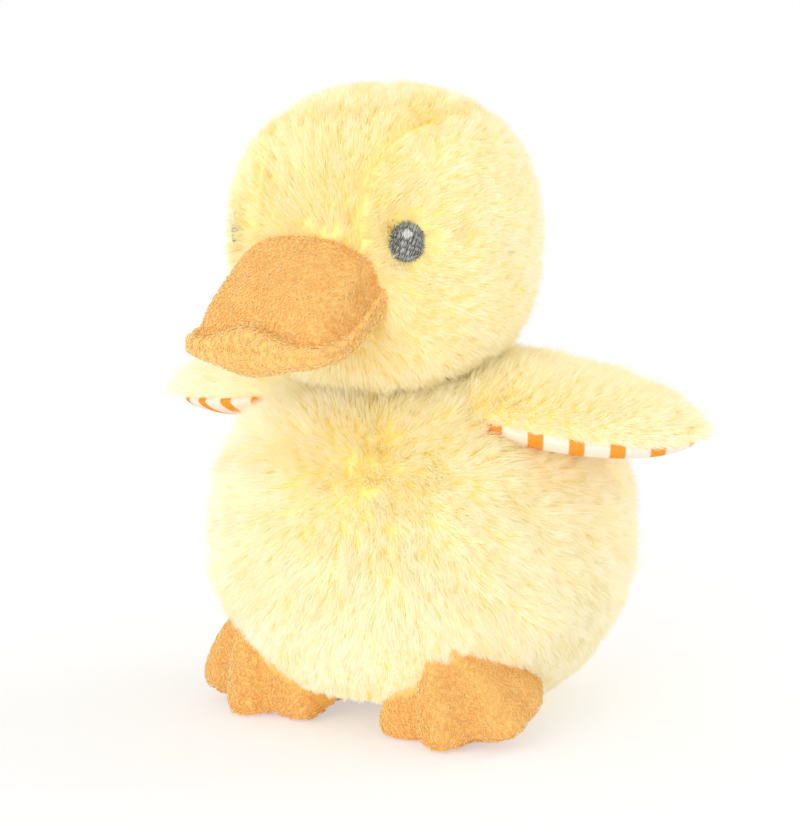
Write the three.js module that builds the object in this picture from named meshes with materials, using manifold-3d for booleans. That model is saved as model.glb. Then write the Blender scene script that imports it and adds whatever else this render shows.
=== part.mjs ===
// Sitting plush duck, in millimetres.
// It faces -Y, its left side is +X, and it sits on z = 0 with the body's middle over the origin.

import * as THREE from 'three';
import { mergeVertices } from 'three/addons/utils/BufferGeometryUtils.js';
import Module from 'manifold-3d';

const wasm = await Module();
wasm.setup();

// Body: a rounded ball, cut flat where it sits
const bodyWidth = 120;
const bodyDepth = 123;
const bodyHeight = 115; // of the whole ball, before the seat is cut off
const bodyMiddleHeight = 51.5; // the widest level above the floor
const bodyRoundness = 2.2; // 2 is an ellipsoid, more is squarer
const basePanelHeight = 7; // how far the seat panel turns up at its rim
const basePanelThickness = 3;
const seatRiseAngle = 15; // degrees, of the seat's front, clear of the floor
const seatRiseStart = 6; // how far ahead of the body's middle that begins
const bibWidth = 62; // between the two seams of the front panel

// Head: a squarer ball that sinks into the top of the body
const headWidth = 84;
const headDepth = 84;
const headHeight = 85;
const headRoundness = 2.4;
const headForward = 20; // how far its middle lies ahead of the body's
const neckSink = 8.5; // how deep it sits in the body's top
const crownFrontWidth = 33; // between the crown panel's seams at the bill
const crownTopWidth = 50; // and over the top of the head
const crownBackWidth = 24; // and down the back

// Soft materials
const plushThickness = 4; // backing and the dense part of the pile
const fleeceThickness = 1.8;
const liningThickness = 1.2;
const gap = 0.3; // between pieces that touch
const fillingGap = 0.6; // between a pillow's skins and its filling
const swellFullness = 3; // of a pillow's panels: more is flatter in the middle
const swellEdge = 0.6; // less is steeper at the seam
const hollowLeastShare = 0.1; // of a pillow's thickness, where its skins would meet
const fillingLeastShare = 0.02;

// Neck
const neckRadius = 9.5; // of the roll, and of its rounded top
const neckDepth = 12; // below the body's top
const headNodAngle = 8; // degrees, each way
const headTurnAngle = 12; // degrees, each way

// Bill: a domed upper panel with a lip that flares at two corners, and a shallow lower panel
const billBaseWidth = 45;
const billLipWidth = 52;
const billDomeHeight = 25.5;
const billLength = 30; // from the front of the head to the tip of the lip
const billLipDepth = 9; // from the crease to the tip of the lip
const billLipHeight = 2.6;
const billLipRise = 4; // more, at the middle of the lip
const billLipRiseWidth = 11; // to each side, where about a third of that is left
const billLowerDepth = 6.5;
const billDrop = 22; // of the seam below the middle of the head
const billSag = 3; // of the lip's tip below the seam at the head
const billFrontShares = [[0.54, 0.2], [0.9, 0.6]]; // of half the lip's width, and of its depth from the tip
const billSideShares = [[1.1, 0.5], [1.06, 1], [0.97, 1.6]]; // of half the base's width, and from lip to head
const billRingShares = [0.96, 0.86, 0.7, 0.5, 0.25];
const billDomeFullness = { length: 1.35, lengthEdge: 0.9, width: 2.6, widthEdge: 0.45 };

// Eyes: thread ovals, each with a small thread highlight
const eyeWidth = 10.4;
const eyeHeight = 11.6;
const eyeThickness = 1.2;
const eyeTurnAngle = 41; // degrees from straight ahead
const eyeRiseAngle = 7; // degrees above the middle of the head
const highlightWidth = 2.6;
const highlightHeight = 3;
const highlightThickness = 0.6;
const highlightRise = 2.3; // above the middle of the eye

// Wings
const wingReach = 50; // from the shoulder seam to the tip
const wingChord = 56;
const wingSweep = 4; // of the tip, to the back
const wingTopBulge = 11;
const wingLiningBulge = 8.5;
const wingDroopAngle = 7; // degrees below level at rest
const wingSink = 5; // of the hinge line inside the body's side
const wingRootLength = 42; // of wing drawn inside the hinge line, which the body cuts off
const shoulderShare = 0.735; // of half the body's height, above the body's middle
const wingUpAngle = 50; // degrees
const wingDownAngle = 35; // degrees
const wingFullness = 2.2; // of its outline: 2 is an ellipse, more is squarer
const wingRingShares = [0.97, 0.84, 0.55];

// Feet
const footToeReach = 30; // from the ankle to the ends of the toes
const footMiddleToeExtra = 2;
const footNotch = 3.4; // how far the web lies behind the toes
const footHeelReach = 15;
const footToeBulge = 14; // of the top panel over the toes, above the seam
const footInstepRise = 22; // and of its slope, from the toes up to the ankle
const footSoleBulge = 3.5;
const footRingShares = [0.94, 0.8, 0.5];
const toeGrooveShare = 0.1; // of the foot's thickness between two toes
const ankleSideShare = 0.53; // of half the body's width, from the middle plane
const ankleForwardShare = 0.27; // of half the body's depth, ahead of its middle
const toeOutAngle = 9; // degrees
const toeSpreadAngle = 45; // degrees from one toe to the next
const footTiltAngle = 18; // degrees, heel up
const footTiltTurnAngle = 12; // degrees from straight across to the line that it tilts about
const footClearance = 0.3; // of the toes above the floor
const footUpAngle = 6; // degrees
const footDownAngle = 8; // degrees

// Tail
const tailLength = 30;
const tailWidth = 26;
const tailThickness = 15;
const tailRiseAngle = 38; // degrees above level
const tailSink = 12; // of its root inside the body's back
const tailHeightShare = 0.12; // of half the body's height, above the body's middle
const tailUpAngle = 15; // degrees
const tailDownAngle = 15; // degrees

// Pellet pouch
const pouchWidth = 50;
const pouchHeight = 15;
const pouchFlatShare = 0.125; // of its height, pressed flat on the seat

// Facets
const largeDetail = 5; // splits of an icosahedron's edge, for the body and the head
const innerDetail = 3; // for surfaces that don't show
const sweepDetail = 4; // for what a moving piece is cut clear of
const facetDepth = 0.8; // by which such a ball is grown, to hold a finer one
const outlinePoints = 28;
const crownPoints = 10; // along one side of the crown panel
const ovalPoints = 16;
const toePoints = 27; // round the toes of a foot
const heelPoints = 6; // and round its heel
const overrun = 10; // by which a cutting tool passes what it cuts

// Colours
const yellowPlush = material(0xfdeeb4, 1);
const orangeFleece = material(0xf9b968, 1);
const stripedLining = material(0xfbdcb8, 0.9);
const greyThread = material(0x5b5d5a, 0.7);
const whiteThread = material(0xf4f2ea, 0.7);
const whiteFibre = material(0xf2efe6, 1);
const pouchCloth = material(0xd9d5c8, 0.95);

function material(color, roughness) {
  return new THREE.MeshStandardMaterial({ color, roughness, metalness: 0 });
}

// Solids from three.js geometry, and back

function toSolid(geometry) {
  const bare = geometry.clone();
  bare.deleteAttribute('normal');
  bare.deleteAttribute('uv');
  const merged = mergeVertices(bare);
  const vertProperties = new Float32Array(merged.attributes.position.array);
  const triVerts = new Uint32Array(merged.index.array);
  return new wasm.Manifold(new wasm.Mesh({ numProp: 3, vertProperties, triVerts }));
}

function toGeometry(solid) {
  const mesh = solid.getMesh();
  const geometry = new THREE.BufferGeometry();
  geometry.setAttribute('position', new THREE.BufferAttribute(mesh.vertProperties, 3));
  geometry.setIndex(new THREE.BufferAttribute(mesh.triVerts, 1));
  geometry.computeVertexNormals();
  return geometry;
}

function moved(solid, matrix) {
  return toSolid(toGeometry(solid).applyMatrix4(matrix));
}

function mirrored(solid) {
  const geometry = toGeometry(solid);
  geometry.applyMatrix4(new THREE.Matrix4().makeScale(-1, 1, 1));
  const corners = geometry.index.array;
  for (let i = 0; i < corners.length; i += 3) {
    const first = corners[i];
    corners[i] = corners[i + 1];
    corners[i + 1] = first;
  }
  return toSolid(geometry);
}

function meshOf(name, solid, look) {
  const mesh = new THREE.Mesh(toGeometry(solid), look);
  mesh.name = name;
  return mesh;
}

function block(low, high) {
  const size = high.clone().sub(low);
  const box = new THREE.BoxGeometry(size.x, size.y, size.z);
  box.translate((low.x + high.x) / 2, (low.y + high.y) / 2, (low.z + high.z) / 2);
  return toSolid(box);
}

function degrees(angle) {
  return THREE.MathUtils.degToRad(angle);
}

function turnAbout(pivot, axis, angle) {
  const back = new THREE.Matrix4().makeTranslation(-pivot.x, -pivot.y, -pivot.z);
  const turn = new THREE.Matrix4().makeRotationAxis(axis, degrees(angle));
  const forth = new THREE.Matrix4().makeTranslation(pivot.x, pivot.y, pivot.z);
  return forth.multiply(turn).multiply(back);
}

// A ball with three half sizes; a roundness over 2 makes its sides fuller

function ball(middle, half, roundness, detail) {
  const geometry = new THREE.IcosahedronGeometry(1, detail);
  const places = geometry.attributes.position;
  const point = new THREE.Vector3();
  for (let i = 0; i < places.count; i += 1) {
    point.fromBufferAttribute(places, i);
    point.multiplyScalar(ballReach(point, half, roundness)).add(middle);
    places.setXYZ(i, point.x, point.y, point.z);
  }
  return toSolid(geometry);
}

function ballReach(direction, half, roundness) {
  const sum = Math.abs(direction.x / half.x) ** roundness
    + Math.abs(direction.y / half.y) ** roundness
    + Math.abs(direction.z / half.z) ** roundness;
  return sum ** (-1 / roundness);
}

function grown(half, amount) {
  return half.clone().addScalar(amount);
}

// The half width of the body at a place, or 0 outside it

function bodyHalfWidthAt(y, z) {
  const left = 1 - Math.abs(y / bodyHalf.y) ** bodyRoundness
    - Math.abs((z - bodyMiddle.z) / bodyHalf.z) ** bodyRoundness;
  return left > 0 ? bodyHalf.x * left ** (1 / bodyRoundness) : 0;
}

// A stuffed pillow of two panels that share an outline; up and down give each panel's height.
// Skins make it the hollow inside: each point moves in by them in height, and by the rim seen from above.
// Where it is thinner than its skins, the least share of its height stays.

function pillow(outline, ringShares, heights, skins, rim, leastShare) {
  const edges = inset(outline, rim);
  const middle = new THREE.Vector2();
  outline.forEach((point) => middle.addScaledVector(point, 1 / outline.length));
  const places = [];
  const corners = [];
  const count = outline.length;
  const addPoint = (edge, moved, share, height) => {
    const outside = middle.clone().lerp(edge, share);
    const point = middle.clone().lerp(moved, share);
    places.push(point.x, point.y, height(outside, share));
  };
  const addRing = (share, height) => {
    outline.forEach((edge, i) => addPoint(edge, edges[i], share, height));
  };
  addRing(1, () => 0);
  const cap = (height, flip) => {
    let outer = 0;
    ringShares.forEach((share) => {
      const inner = places.length / 3;
      addRing(share, height);
      for (let i = 0; i < count; i += 1) {
        const next = (i + 1) % count;
        addFace(corners, [outer + i, outer + next, inner + next], flip);
        addFace(corners, [outer + i, inner + next, inner + i], flip);
      }
      outer = inner;
    });
    const pole = places.length / 3;
    addPoint(middle, middle, 0, height);
    for (let i = 0; i < count; i += 1) {
      addFace(corners, [outer + i, outer + (i + 1) % count, pole], flip);
    }
  };
  const inside = (height, cover) => Math.max(height - cover, height * leastShare);
  cap((point, share) => inside(heights.up(point, share), skins.up), false);
  cap((point, share) => -inside(heights.down(point, share), skins.down), true);
  const geometry = new THREE.BufferGeometry();
  geometry.setAttribute('position', new THREE.Float32BufferAttribute(places, 3));
  geometry.setIndex(corners);
  return toSolid(geometry);
}

function addFace(corners, face, flip) {
  corners.push(...(flip ? [face[0], face[2], face[1]] : face));
}

// An outline moved inwards by a distance; it runs anticlockwise

function inset(outline, distance) {
  return outline.map((point, i) => {
    const before = outline[(i + outline.length - 1) % outline.length];
    const after = outline[(i + 1) % outline.length];
    const along = after.clone().sub(before).normalize();
    return point.clone().add(new THREE.Vector2(-along.y, along.x).multiplyScalar(distance));
  });
}

// The height of a stuffed panel, at a share of the way from its middle to its rim

function swell(bulge, share) {
  return bulge * (1 - share ** swellFullness) ** swellEdge;
}

// Splits a pillow at its seam into two skins, round a filling

function sewnPillow(outline, ringShares, heights, skins) {
  const rim = Math.max(skins.up, skins.down);
  const room = { up: skins.up + fillingGap, down: skins.down + fillingGap };
  const outer = pillow(outline, ringShares, heights, { up: 0, down: 0 }, 0, 1);
  const hollow = pillow(outline, ringShares, heights, skins, rim, hollowLeastShare);
  const filling = pillow(outline, ringShares, heights, room, rim + fillingGap, fillingLeastShare);
  const shell = outer.subtract(hollow);
  return {
    up: shell.intersect(aboveLevel(gap / 2)),
    down: shell.intersect(belowLevel(-gap / 2)),
    filling,
  };
}

// Body

const bodyHalf = new THREE.Vector3(bodyWidth / 2, bodyDepth / 2, bodyHeight / 2);
const bodyMiddle = new THREE.Vector3(0, 0, bodyMiddleHeight);
const bodyTop = bodyMiddleHeight + bodyHeight / 2;
const wide = bodyWidth + bodyDepth + bodyHeight; // wider than anything that is cut

function aboveLevel(z) {
  return block(new THREE.Vector3(-wide, -wide, z), new THREE.Vector3(wide, wide, z + wide));
}

function belowLevel(z) {
  return block(new THREE.Vector3(-wide, -wide, z - wide), new THREE.Vector3(wide, wide, z));
}

// Above the seat, which is level at a height and slopes up to the front

function aboveSeat(height) {
  const pivot = new THREE.Vector3(0, -seatRiseStart, height);
  const slope = turnAbout(pivot, new THREE.Vector3(1, 0, 0), -seatRiseAngle);
  return aboveLevel(height).intersect(moved(aboveLevel(height), slope));
}

function upright(middle, radius, low, high) {
  const post = new THREE.CylinderGeometry(radius, radius, high - low, outlinePoints);
  post.rotateX(Math.PI / 2);
  post.translate(middle.x, middle.y, (low + high) / 2);
  return toSolid(post);
}

const neckPlace = new THREE.Vector3(
  0,
  -headForward / 2,
  bodyMiddleHeight + bodyHalf.z * (1 - (headForward / bodyDepth) ** bodyRoundness) ** (1 / bodyRoundness),
);

function bodyPieces() {
  const outer = ball(bodyMiddle, bodyHalf, bodyRoundness, largeDetail).intersect(aboveSeat(0));
  const inner = ball(bodyMiddle, grown(bodyHalf, -plushThickness), bodyRoundness, innerDetail)
    .intersect(aboveSeat(basePanelThickness));
  const neckHole = upright(neckPlace, neckRadius + gap, bodyMiddleHeight, bodyTop + overrun);
  const shell = outer.subtract(inner).subtract(neckHole);
  const sides = shell.intersect(aboveLevel(basePanelHeight + gap / 2));
  const bibHalf = bibWidth / 2;
  const bib = block(
    new THREE.Vector3(-bibHalf, -bodyDepth, 0),
    new THREE.Vector3(bibHalf, 0, bodyTop + overrun),
  );
  const aroundBib = block(
    new THREE.Vector3(-bibHalf - gap, -bodyDepth, 0),
    new THREE.Vector3(bibHalf + gap, gap, bodyTop + overrun),
  );
  const leftHalf = block(
    new THREE.Vector3(gap / 2, -bodyDepth, 0),
    new THREE.Vector3(bodyWidth, bodyDepth, bodyTop + overrun),
  );
  const left = sides.subtract(aroundBib).intersect(leftHalf);
  return [
    meshOf('body_front_panel', sides.intersect(bib), yellowPlush),
    meshOf('body_left_panel', left, yellowPlush),
    meshOf('body_right_panel', mirrored(left), yellowPlush),
    meshOf('body_base_panel', shell.intersect(belowLevel(basePanelHeight - gap / 2)), yellowPlush),
    ...bodyFillings(),
  ];
}

function bodyFillings() {
  const floor = basePanelThickness + gap;
  const pouchMiddle = new THREE.Vector3(0, 0, floor + pouchHeight / 2);
  const pouchHalf = new THREE.Vector3(pouchWidth / 2, pouchWidth / 2, pouchHeight / 2);
  const pouchBall = (amount) => ball(
    pouchMiddle.clone().setZ(pouchMiddle.z - pouchFlatShare * pouchHeight),
    grown(pouchHalf, amount),
    bodyRoundness,
    innerDetail,
  );
  const filling = ball(bodyMiddle, grown(bodyHalf, -plushThickness - gap), bodyRoundness, innerDetail)
    .intersect(aboveSeat(floor))
    .subtract(pouchBall(gap))
    .subtract(upright(neckPlace, neckRadius + gap, neckPlace.z - neckDepth - gap, bodyTop));
  return [
    meshOf('body_stuffing', filling, whiteFibre),
    meshOf('pellet_pouch', pouchBall(0).intersect(aboveSeat(floor)), pouchCloth),
  ];
}

// Neck: a firm roll of stuffing with a rounded top that the head turns and nods on

function neckTop(amount) {
  const half = new THREE.Vector3().setScalar(neckRadius + amount);
  return ball(neckPlace, half, 2, innerDetail);
}

function neckPieces() {
  const roll = upright(neckPlace, neckRadius, neckPlace.z - neckDepth, neckPlace.z);
  return [meshOf('neck_stuffing', roll.add(neckTop(0)), whiteFibre)];
}

// Head

const headHalf = new THREE.Vector3(headWidth / 2, headDepth / 2, headHeight / 2);
const headMiddle = new THREE.Vector3(0, -headForward, bodyTop - neckSink + headHalf.z);

// Everything that the body covers, at rest and as the head nods and turns, seen from the head

function bodySeenFromHead() {
  const nods = [-headNodAngle, 0, headNodAngle];
  const turns = [-headTurnAngle, headTurnAngle];
  const moves = nods.flatMap((nod) => turns.map((turn) => {
    const turned = turnAbout(neckPlace, new THREE.Vector3(0, 0, 1), -turn);
    return turnAbout(neckPlace, new THREE.Vector3(1, 0, 0), -nod).multiply(turned);
  }));
  return bodyCovers(moves);
}

// The body at rest and after each move, with room for a gap

function bodyCovers(moves) {
  const coarse = ball(bodyMiddle, grown(bodyHalf, gap + facetDepth), bodyRoundness, sweepDetail);
  const start = ball(bodyMiddle, grown(bodyHalf, gap), bodyRoundness, largeDetail);
  return moves.reduce((covered, move) => covered.add(moved(coarse, move)), start);
}

// The crown panel's outline from above: narrow at the bill, widest over the top, narrow at the back

function crownOutline(amount) {
  const front = new THREE.Vector2(crownFrontWidth / 2 + amount, -headDepth);
  const frontEdge = new THREE.Vector2(crownFrontWidth / 2 + amount, -headDepth / 2);
  const top = new THREE.Vector2(crownTopWidth / 2 + amount, 0);
  const back = new THREE.Vector2(crownBackWidth / 2 + amount, headDepth / 2);
  const backEdge = new THREE.Vector2(crownBackWidth / 2 + amount, headDepth);
  const side = new THREE.SplineCurve([front, frontEdge, top, back, backEdge]).getPoints(crownPoints);
  const otherSide = side.map((point) => new THREE.Vector2(-point.x, point.y)).reverse();
  return new THREE.Shape([...side, ...otherSide]);
}

function crownTool(amount) {
  const height = headHeight + overrun;
  const whole = new THREE.ExtrudeGeometry(crownOutline(amount), { depth: 2 * height, bevelEnabled: false });
  whole.translate(headMiddle.x, headMiddle.y, headMiddle.z - height);
  const chin = block(
    new THREE.Vector3(-headWidth, headMiddle.y - headDepth, headMiddle.z - height),
    new THREE.Vector3(headWidth, headMiddle.y, headMiddle.z - amount),
  );
  return toSolid(whole).subtract(chin);
}

function headPieces() {
  const covered = bodySeenFromHead();
  const outer = ball(headMiddle, headHalf, headRoundness, largeDetail);
  const inner = ball(headMiddle, grown(headHalf, -plushThickness), headRoundness, innerDetail);
  const shell = outer.subtract(inner).subtract(covered).subtract(neckTop(gap));
  const leftHalf = block(
    new THREE.Vector3(gap / 2, -wide, 0),
    new THREE.Vector3(wide, wide, wide),
  );
  const left = shell.subtract(crownTool(gap)).intersect(leftHalf);
  const filling = ball(headMiddle, grown(headHalf, -plushThickness - gap), headRoundness, innerDetail)
    .subtract(covered)
    .subtract(neckTop(gap));
  return [
    meshOf('head_crown_panel', shell.intersect(crownTool(0)), yellowPlush),
    meshOf('head_left_panel', left, yellowPlush),
    meshOf('head_right_panel', mirrored(left), yellowPlush),
    meshOf('head_stuffing', filling, whiteFibre),
  ];
}

// Bill, drawn from above with its tip at -Y and its seam at z = 0, then set on the head

function billOutline() {
  const front = -headHalf.y; // the front of the head
  const tip = front - billLength;
  const corner = tip + billLipDepth + billLipHeight;
  const half = [
    new THREE.Vector2(0, tip),
    ...billFrontShares.map(([across, back]) => (
      new THREE.Vector2(across * billLipWidth / 2, tip + back * billLipDepth)
    )),
    new THREE.Vector2(billLipWidth / 2, corner),
    ...billSideShares.map(([across, back]) => (
      new THREE.Vector2(across * billBaseWidth / 2, THREE.MathUtils.lerp(corner, front, back))
    )),
    new THREE.Vector2(0, front + billLength / 2),
  ];
  const otherHalf = half.slice(1, -1).map((point) => new THREE.Vector2(-point.x, point.y)).reverse();
  const curve = new THREE.SplineCurve([...half, ...otherHalf, half[0]]);
  return curve.getSpacedPoints(outlinePoints).slice(0, outlinePoints);
}

function lipRise(point) {
  const ahead = -point.y - headHalf.y;
  const start = billLength - 1.5 * billLipDepth;
  const front = THREE.MathUtils.smoothstep(ahead, start, start + billLipDepth);
  return billLipRise * front * Math.exp(-((point.x / billLipRiseWidth) ** 2));
}

function billTop(point, share) {
  const front = -headHalf.y;
  const domeLength = billLength - billLipDepth;
  const along = THREE.MathUtils.clamp((front - point.y) / domeLength, 0, 1);
  const across = THREE.MathUtils.clamp(Math.abs(point.x) / (billBaseWidth / 2), 0, 1);
  const length = (1 - along ** billDomeFullness.length) ** billDomeFullness.lengthEdge;
  const width = (1 - across ** billDomeFullness.width) ** billDomeFullness.widthEdge;
  return swell(billLipHeight + lipRise(point), share) + (billDomeHeight - billLipHeight) * length * width;
}

function billPieces() {
  const heights = {
    up: billTop,
    down: (point, share) => swell(billLowerDepth, share),
  };
  const skins = { up: fleeceThickness, down: fleeceThickness };
  const sewn = sewnPillow(billOutline(), billRingShares, heights, skins);
  const tilt = turnAbout(
    new THREE.Vector3(0, -headHalf.y, 0),
    new THREE.Vector3(1, 0, 0),
    THREE.MathUtils.radToDeg(Math.atan2(billSag, billLength)),
  );
  const place = new THREE.Matrix4().makeTranslation(0, headMiddle.y, headMiddle.z - billDrop).multiply(tilt);
  const head = ball(headMiddle, grown(headHalf, gap), headRoundness, largeDetail);
  const onHead = (solid) => moved(solid, place).subtract(head);
  return [
    meshOf('upper_bill_panel', onHead(sewn.up), orangeFleece),
    meshOf('lower_bill_panel', onHead(sewn.down), orangeFleece),
    meshOf('bill_stuffing', onHead(sewn.filling), whiteFibre),
  ];
}

// Eyes: patches of thread that follow the head's surface

function threadPatch(width, height, rise, low, high) {
  const oval = new THREE.CylinderGeometry(0.5, 0.5, headWidth, ovalPoints);
  oval.scale(width, 1, height);
  oval.translate(0, headWidth / 2, -rise);
  oval.applyMatrix4(new THREE.Matrix4().makeRotationX(Math.PI + degrees(-eyeRiseAngle)));
  oval.applyMatrix4(new THREE.Matrix4().makeRotationZ(degrees(eyeTurnAngle)));
  oval.translate(headMiddle.x, headMiddle.y, headMiddle.z);
  const outside = ball(headMiddle, grown(headHalf, high), headRoundness, largeDetail);
  const inside = ball(headMiddle, grown(headHalf, low), headRoundness, largeDetail);
  return toSolid(oval).intersect(outside).subtract(inside);
}

function eyePieces() {
  const face = gap + eyeThickness;
  const eye = threadPatch(eyeWidth, eyeHeight, 0, gap, face);
  const highlight = threadPatch(
    highlightWidth,
    highlightHeight,
    highlightRise,
    face + gap,
    face + gap + highlightThickness,
  );
  return [
    meshOf('left_eye', eye, greyThread),
    meshOf('right_eye', mirrored(eye), greyThread),
    meshOf('left_eye_highlight', highlight, whiteThread),
    meshOf('right_eye_highlight', mirrored(highlight), whiteThread),
  ];
}

// What the body covers, at rest and through a joint's range, seen from a limb

function bodySeenFrom(pivot, axis, angles) {
  return bodyCovers(angles.map((angle) => turnAbout(pivot, axis, -angle)));
}

function bothSides(pieces) {
  return pieces.flatMap(([name, solid, look]) => [
    meshOf(`left_${name}`, solid, look),
    meshOf(`right_${name}`, mirrored(solid), look),
  ]);
}

// Wings, drawn along +X from the hinge with the seam at z = 0

function wingOutline() {
  const middle = (wingReach - wingRootLength) / 2;
  const halfLength = (wingReach + wingRootLength) / 2;
  const points = [];
  for (let i = 0; i < outlinePoints; i += 1) {
    const angle = 2 * Math.PI * i / outlinePoints;
    const direction = new THREE.Vector3(Math.cos(angle), Math.sin(angle), 0);
    const reach = ballReach(direction, new THREE.Vector3(halfLength, wingChord / 2, 1), wingFullness);
    const x = middle + reach * direction.x;
    points.push(new THREE.Vector2(x, reach * direction.y + wingSweep * (x / wingReach) ** 2));
  }
  return points;
}

function wingPieces() {
  const heights = {
    up: (point, share) => swell(wingTopBulge, share),
    down: (point, share) => swell(wingLiningBulge, share),
  };
  const skins = { up: plushThickness, down: liningThickness };
  const sewn = sewnPillow(wingOutline(), wingRingShares, heights, skins);
  const height = bodyMiddleHeight + shoulderShare * bodyHalf.z;
  const hinge = new THREE.Vector3(bodyHalfWidthAt(0, height) - wingSink, 0, height);
  const droop = new THREE.Matrix4().makeRotationY(degrees(wingDroopAngle));
  const place = new THREE.Matrix4().makeTranslation(hinge.x, hinge.y, hinge.z).multiply(droop);
  const covered = bodySeenFrom(hinge, new THREE.Vector3(0, -1, 0), [-wingDownAngle, wingUpAngle]);
  const onBody = (solid) => moved(solid, place).subtract(covered);
  return bothSides([
    ['wing_top', onBody(sewn.up), yellowPlush],
    ['wing_lining', onBody(sewn.down), stripedLining],
    ['wing_wadding', onBody(sewn.filling), whiteFibre],
  ]);
}

// Feet, drawn with the toes towards -Y and the seam at z = 0

function footOutline() {
  const toes = toeSpreadAngle * 1.5; // half the angle that the toes take up
  const turns = [];
  for (let i = 0; i < toePoints; i += 1) {
    turns.push(THREE.MathUtils.lerp(-toes, toes, i / toePoints));
  }
  for (let i = 0; i < heelPoints; i += 1) {
    turns.push(THREE.MathUtils.lerp(toes, 360 - toes, i / heelPoints));
  }
  return turns.map((turn) => {
    const reach = turn < toes ? toeReach(turn) : heelReach((turn - toes) / (360 - 2 * toes));
    return new THREE.Vector2(reach * Math.sin(degrees(turn)), -reach * Math.cos(degrees(turn)));
  });
}

function toeReach(turn) {
  const toe = (1 + Math.cos(degrees(turn * 360 / toeSpreadAngle))) / 2;
  return footToeReach - footNotch * (1 - toe) + footMiddleToeExtra * toe * Math.cos(degrees(turn));
}

function heelReach(share) {
  const heel = Math.sin(Math.PI * share);
  return THREE.MathUtils.lerp(footToeReach - footNotch, footHeelReach, heel);
}

function footTop(point, share) {
  const turn = THREE.MathUtils.radToDeg(Math.atan2(point.x, -point.y));
  const between = (1 - Math.cos(degrees(turn * 360 / toeSpreadAngle))) / 2;
  const groove = point.y < 0 ? toeGrooveShare * between * share ** swellFullness : 0;
  return swell(footToeBulge, share) * (1 - groove) + footInstepRise * (1 - share);
}

function footPieces() {
  const heights = {
    up: footTop,
    down: (point, share) => swell(footSoleBulge, share),
  };
  const skins = { up: fleeceThickness, down: fleeceThickness };
  const sewn = sewnPillow(footOutline(), footRingShares, heights, skins);
  const across = degrees(footTiltTurnAngle);
  const tiltAxis = new THREE.Vector3(Math.cos(across), -Math.sin(across), 0);
  const tilt = new THREE.Matrix4().makeRotationAxis(tiltAxis, degrees(footTiltAngle));
  const stance = tilt.multiply(new THREE.Matrix4().makeRotationZ(degrees(toeOutAngle)));
  const lowest = moved(sewn.down, stance).boundingBox().min[2];
  const ankle = new THREE.Vector3(
    ankleSideShare * bodyHalf.x,
    -ankleForwardShare * bodyHalf.y,
    footClearance - lowest,
  );
  const place = new THREE.Matrix4().makeTranslation(ankle.x, ankle.y, ankle.z).multiply(stance);
  const out = degrees(toeOutAngle);
  const axis = new THREE.Vector3(-Math.cos(out), -Math.sin(out), 0);
  const covered = bodySeenFrom(ankle, axis, [-footDownAngle, footUpAngle]);
  const onBody = (solid) => moved(solid, place).subtract(covered);
  return bothSides([
    ['foot_top', onBody(sewn.up), orangeFleece],
    ['foot_sole', onBody(sewn.down), orangeFleece],
    ['foot_stuffing', onBody(sewn.filling), whiteFibre],
  ]);
}

// Tail: a small plush pocket on the back

function tailPieces() {
  const height = bodyMiddleHeight + tailHeightShare * bodyHalf.z;
  const level = Math.abs((height - bodyMiddleHeight) / bodyHalf.z) ** bodyRoundness;
  const back = bodyHalf.y * (1 - level) ** (1 / bodyRoundness);
  const hinge = new THREE.Vector3(0, back, height);
  const half = new THREE.Vector3(tailWidth / 2, tailLength, tailThickness / 2);
  const rise = turnAbout(hinge, new THREE.Vector3(1, 0, 0), tailRiseAngle);
  const covered = bodySeenFrom(hinge, new THREE.Vector3(1, 0, 0), [-tailDownAngle, tailUpAngle]);
  const middle = hinge.clone().setY(back - tailSink);
  const shape = (amount) => moved(ball(middle, grown(half, amount), 2, innerDetail), rise);
  const cover = shape(0).subtract(shape(-plushThickness)).subtract(covered);
  const filling = shape(-plushThickness - gap).subtract(covered);
  return [
    meshOf('tail_cover', cover, yellowPlush),
    meshOf('tail_stuffing', filling, whiteFibre),
  ];
}

const duck = new THREE.Group();
duck.add(...bodyPieces());
duck.add(...neckPieces());
duck.add(...headPieces());
duck.add(...billPieces());
duck.add(...eyePieces());
duck.add(...wingPieces());
duck.add(...footPieces());
duck.add(...tailPieces());

export default duck;
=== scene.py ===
import math
from functools import partialmethod

import bpy
import numpy as np
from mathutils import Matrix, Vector


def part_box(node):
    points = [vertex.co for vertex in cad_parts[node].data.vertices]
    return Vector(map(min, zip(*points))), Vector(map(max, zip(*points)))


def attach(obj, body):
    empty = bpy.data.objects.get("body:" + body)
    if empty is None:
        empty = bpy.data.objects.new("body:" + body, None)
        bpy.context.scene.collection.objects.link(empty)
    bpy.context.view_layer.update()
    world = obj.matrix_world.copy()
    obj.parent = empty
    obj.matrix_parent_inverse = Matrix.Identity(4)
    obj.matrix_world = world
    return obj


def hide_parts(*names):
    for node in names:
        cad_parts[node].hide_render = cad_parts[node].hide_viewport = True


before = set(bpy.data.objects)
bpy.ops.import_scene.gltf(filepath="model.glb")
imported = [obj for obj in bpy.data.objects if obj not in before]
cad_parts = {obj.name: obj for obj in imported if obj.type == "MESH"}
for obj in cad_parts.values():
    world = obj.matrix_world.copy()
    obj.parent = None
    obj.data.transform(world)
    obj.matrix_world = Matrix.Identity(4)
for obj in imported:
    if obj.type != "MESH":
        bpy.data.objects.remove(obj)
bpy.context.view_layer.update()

# Camera: a long lens at the height of the duck's head, to its front left. The picture shows
# the point that it looks at a little right of its middle.

camera_turn = math.radians(33)
camera_rise = math.radians(10)
camera_distance = 0.88
camera_target = Vector((0, 0, 0.09))
picture_width = 800
picture_height = 832
target_pixel = (423.7, 408)
pixels_per_metre = 3333

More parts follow.
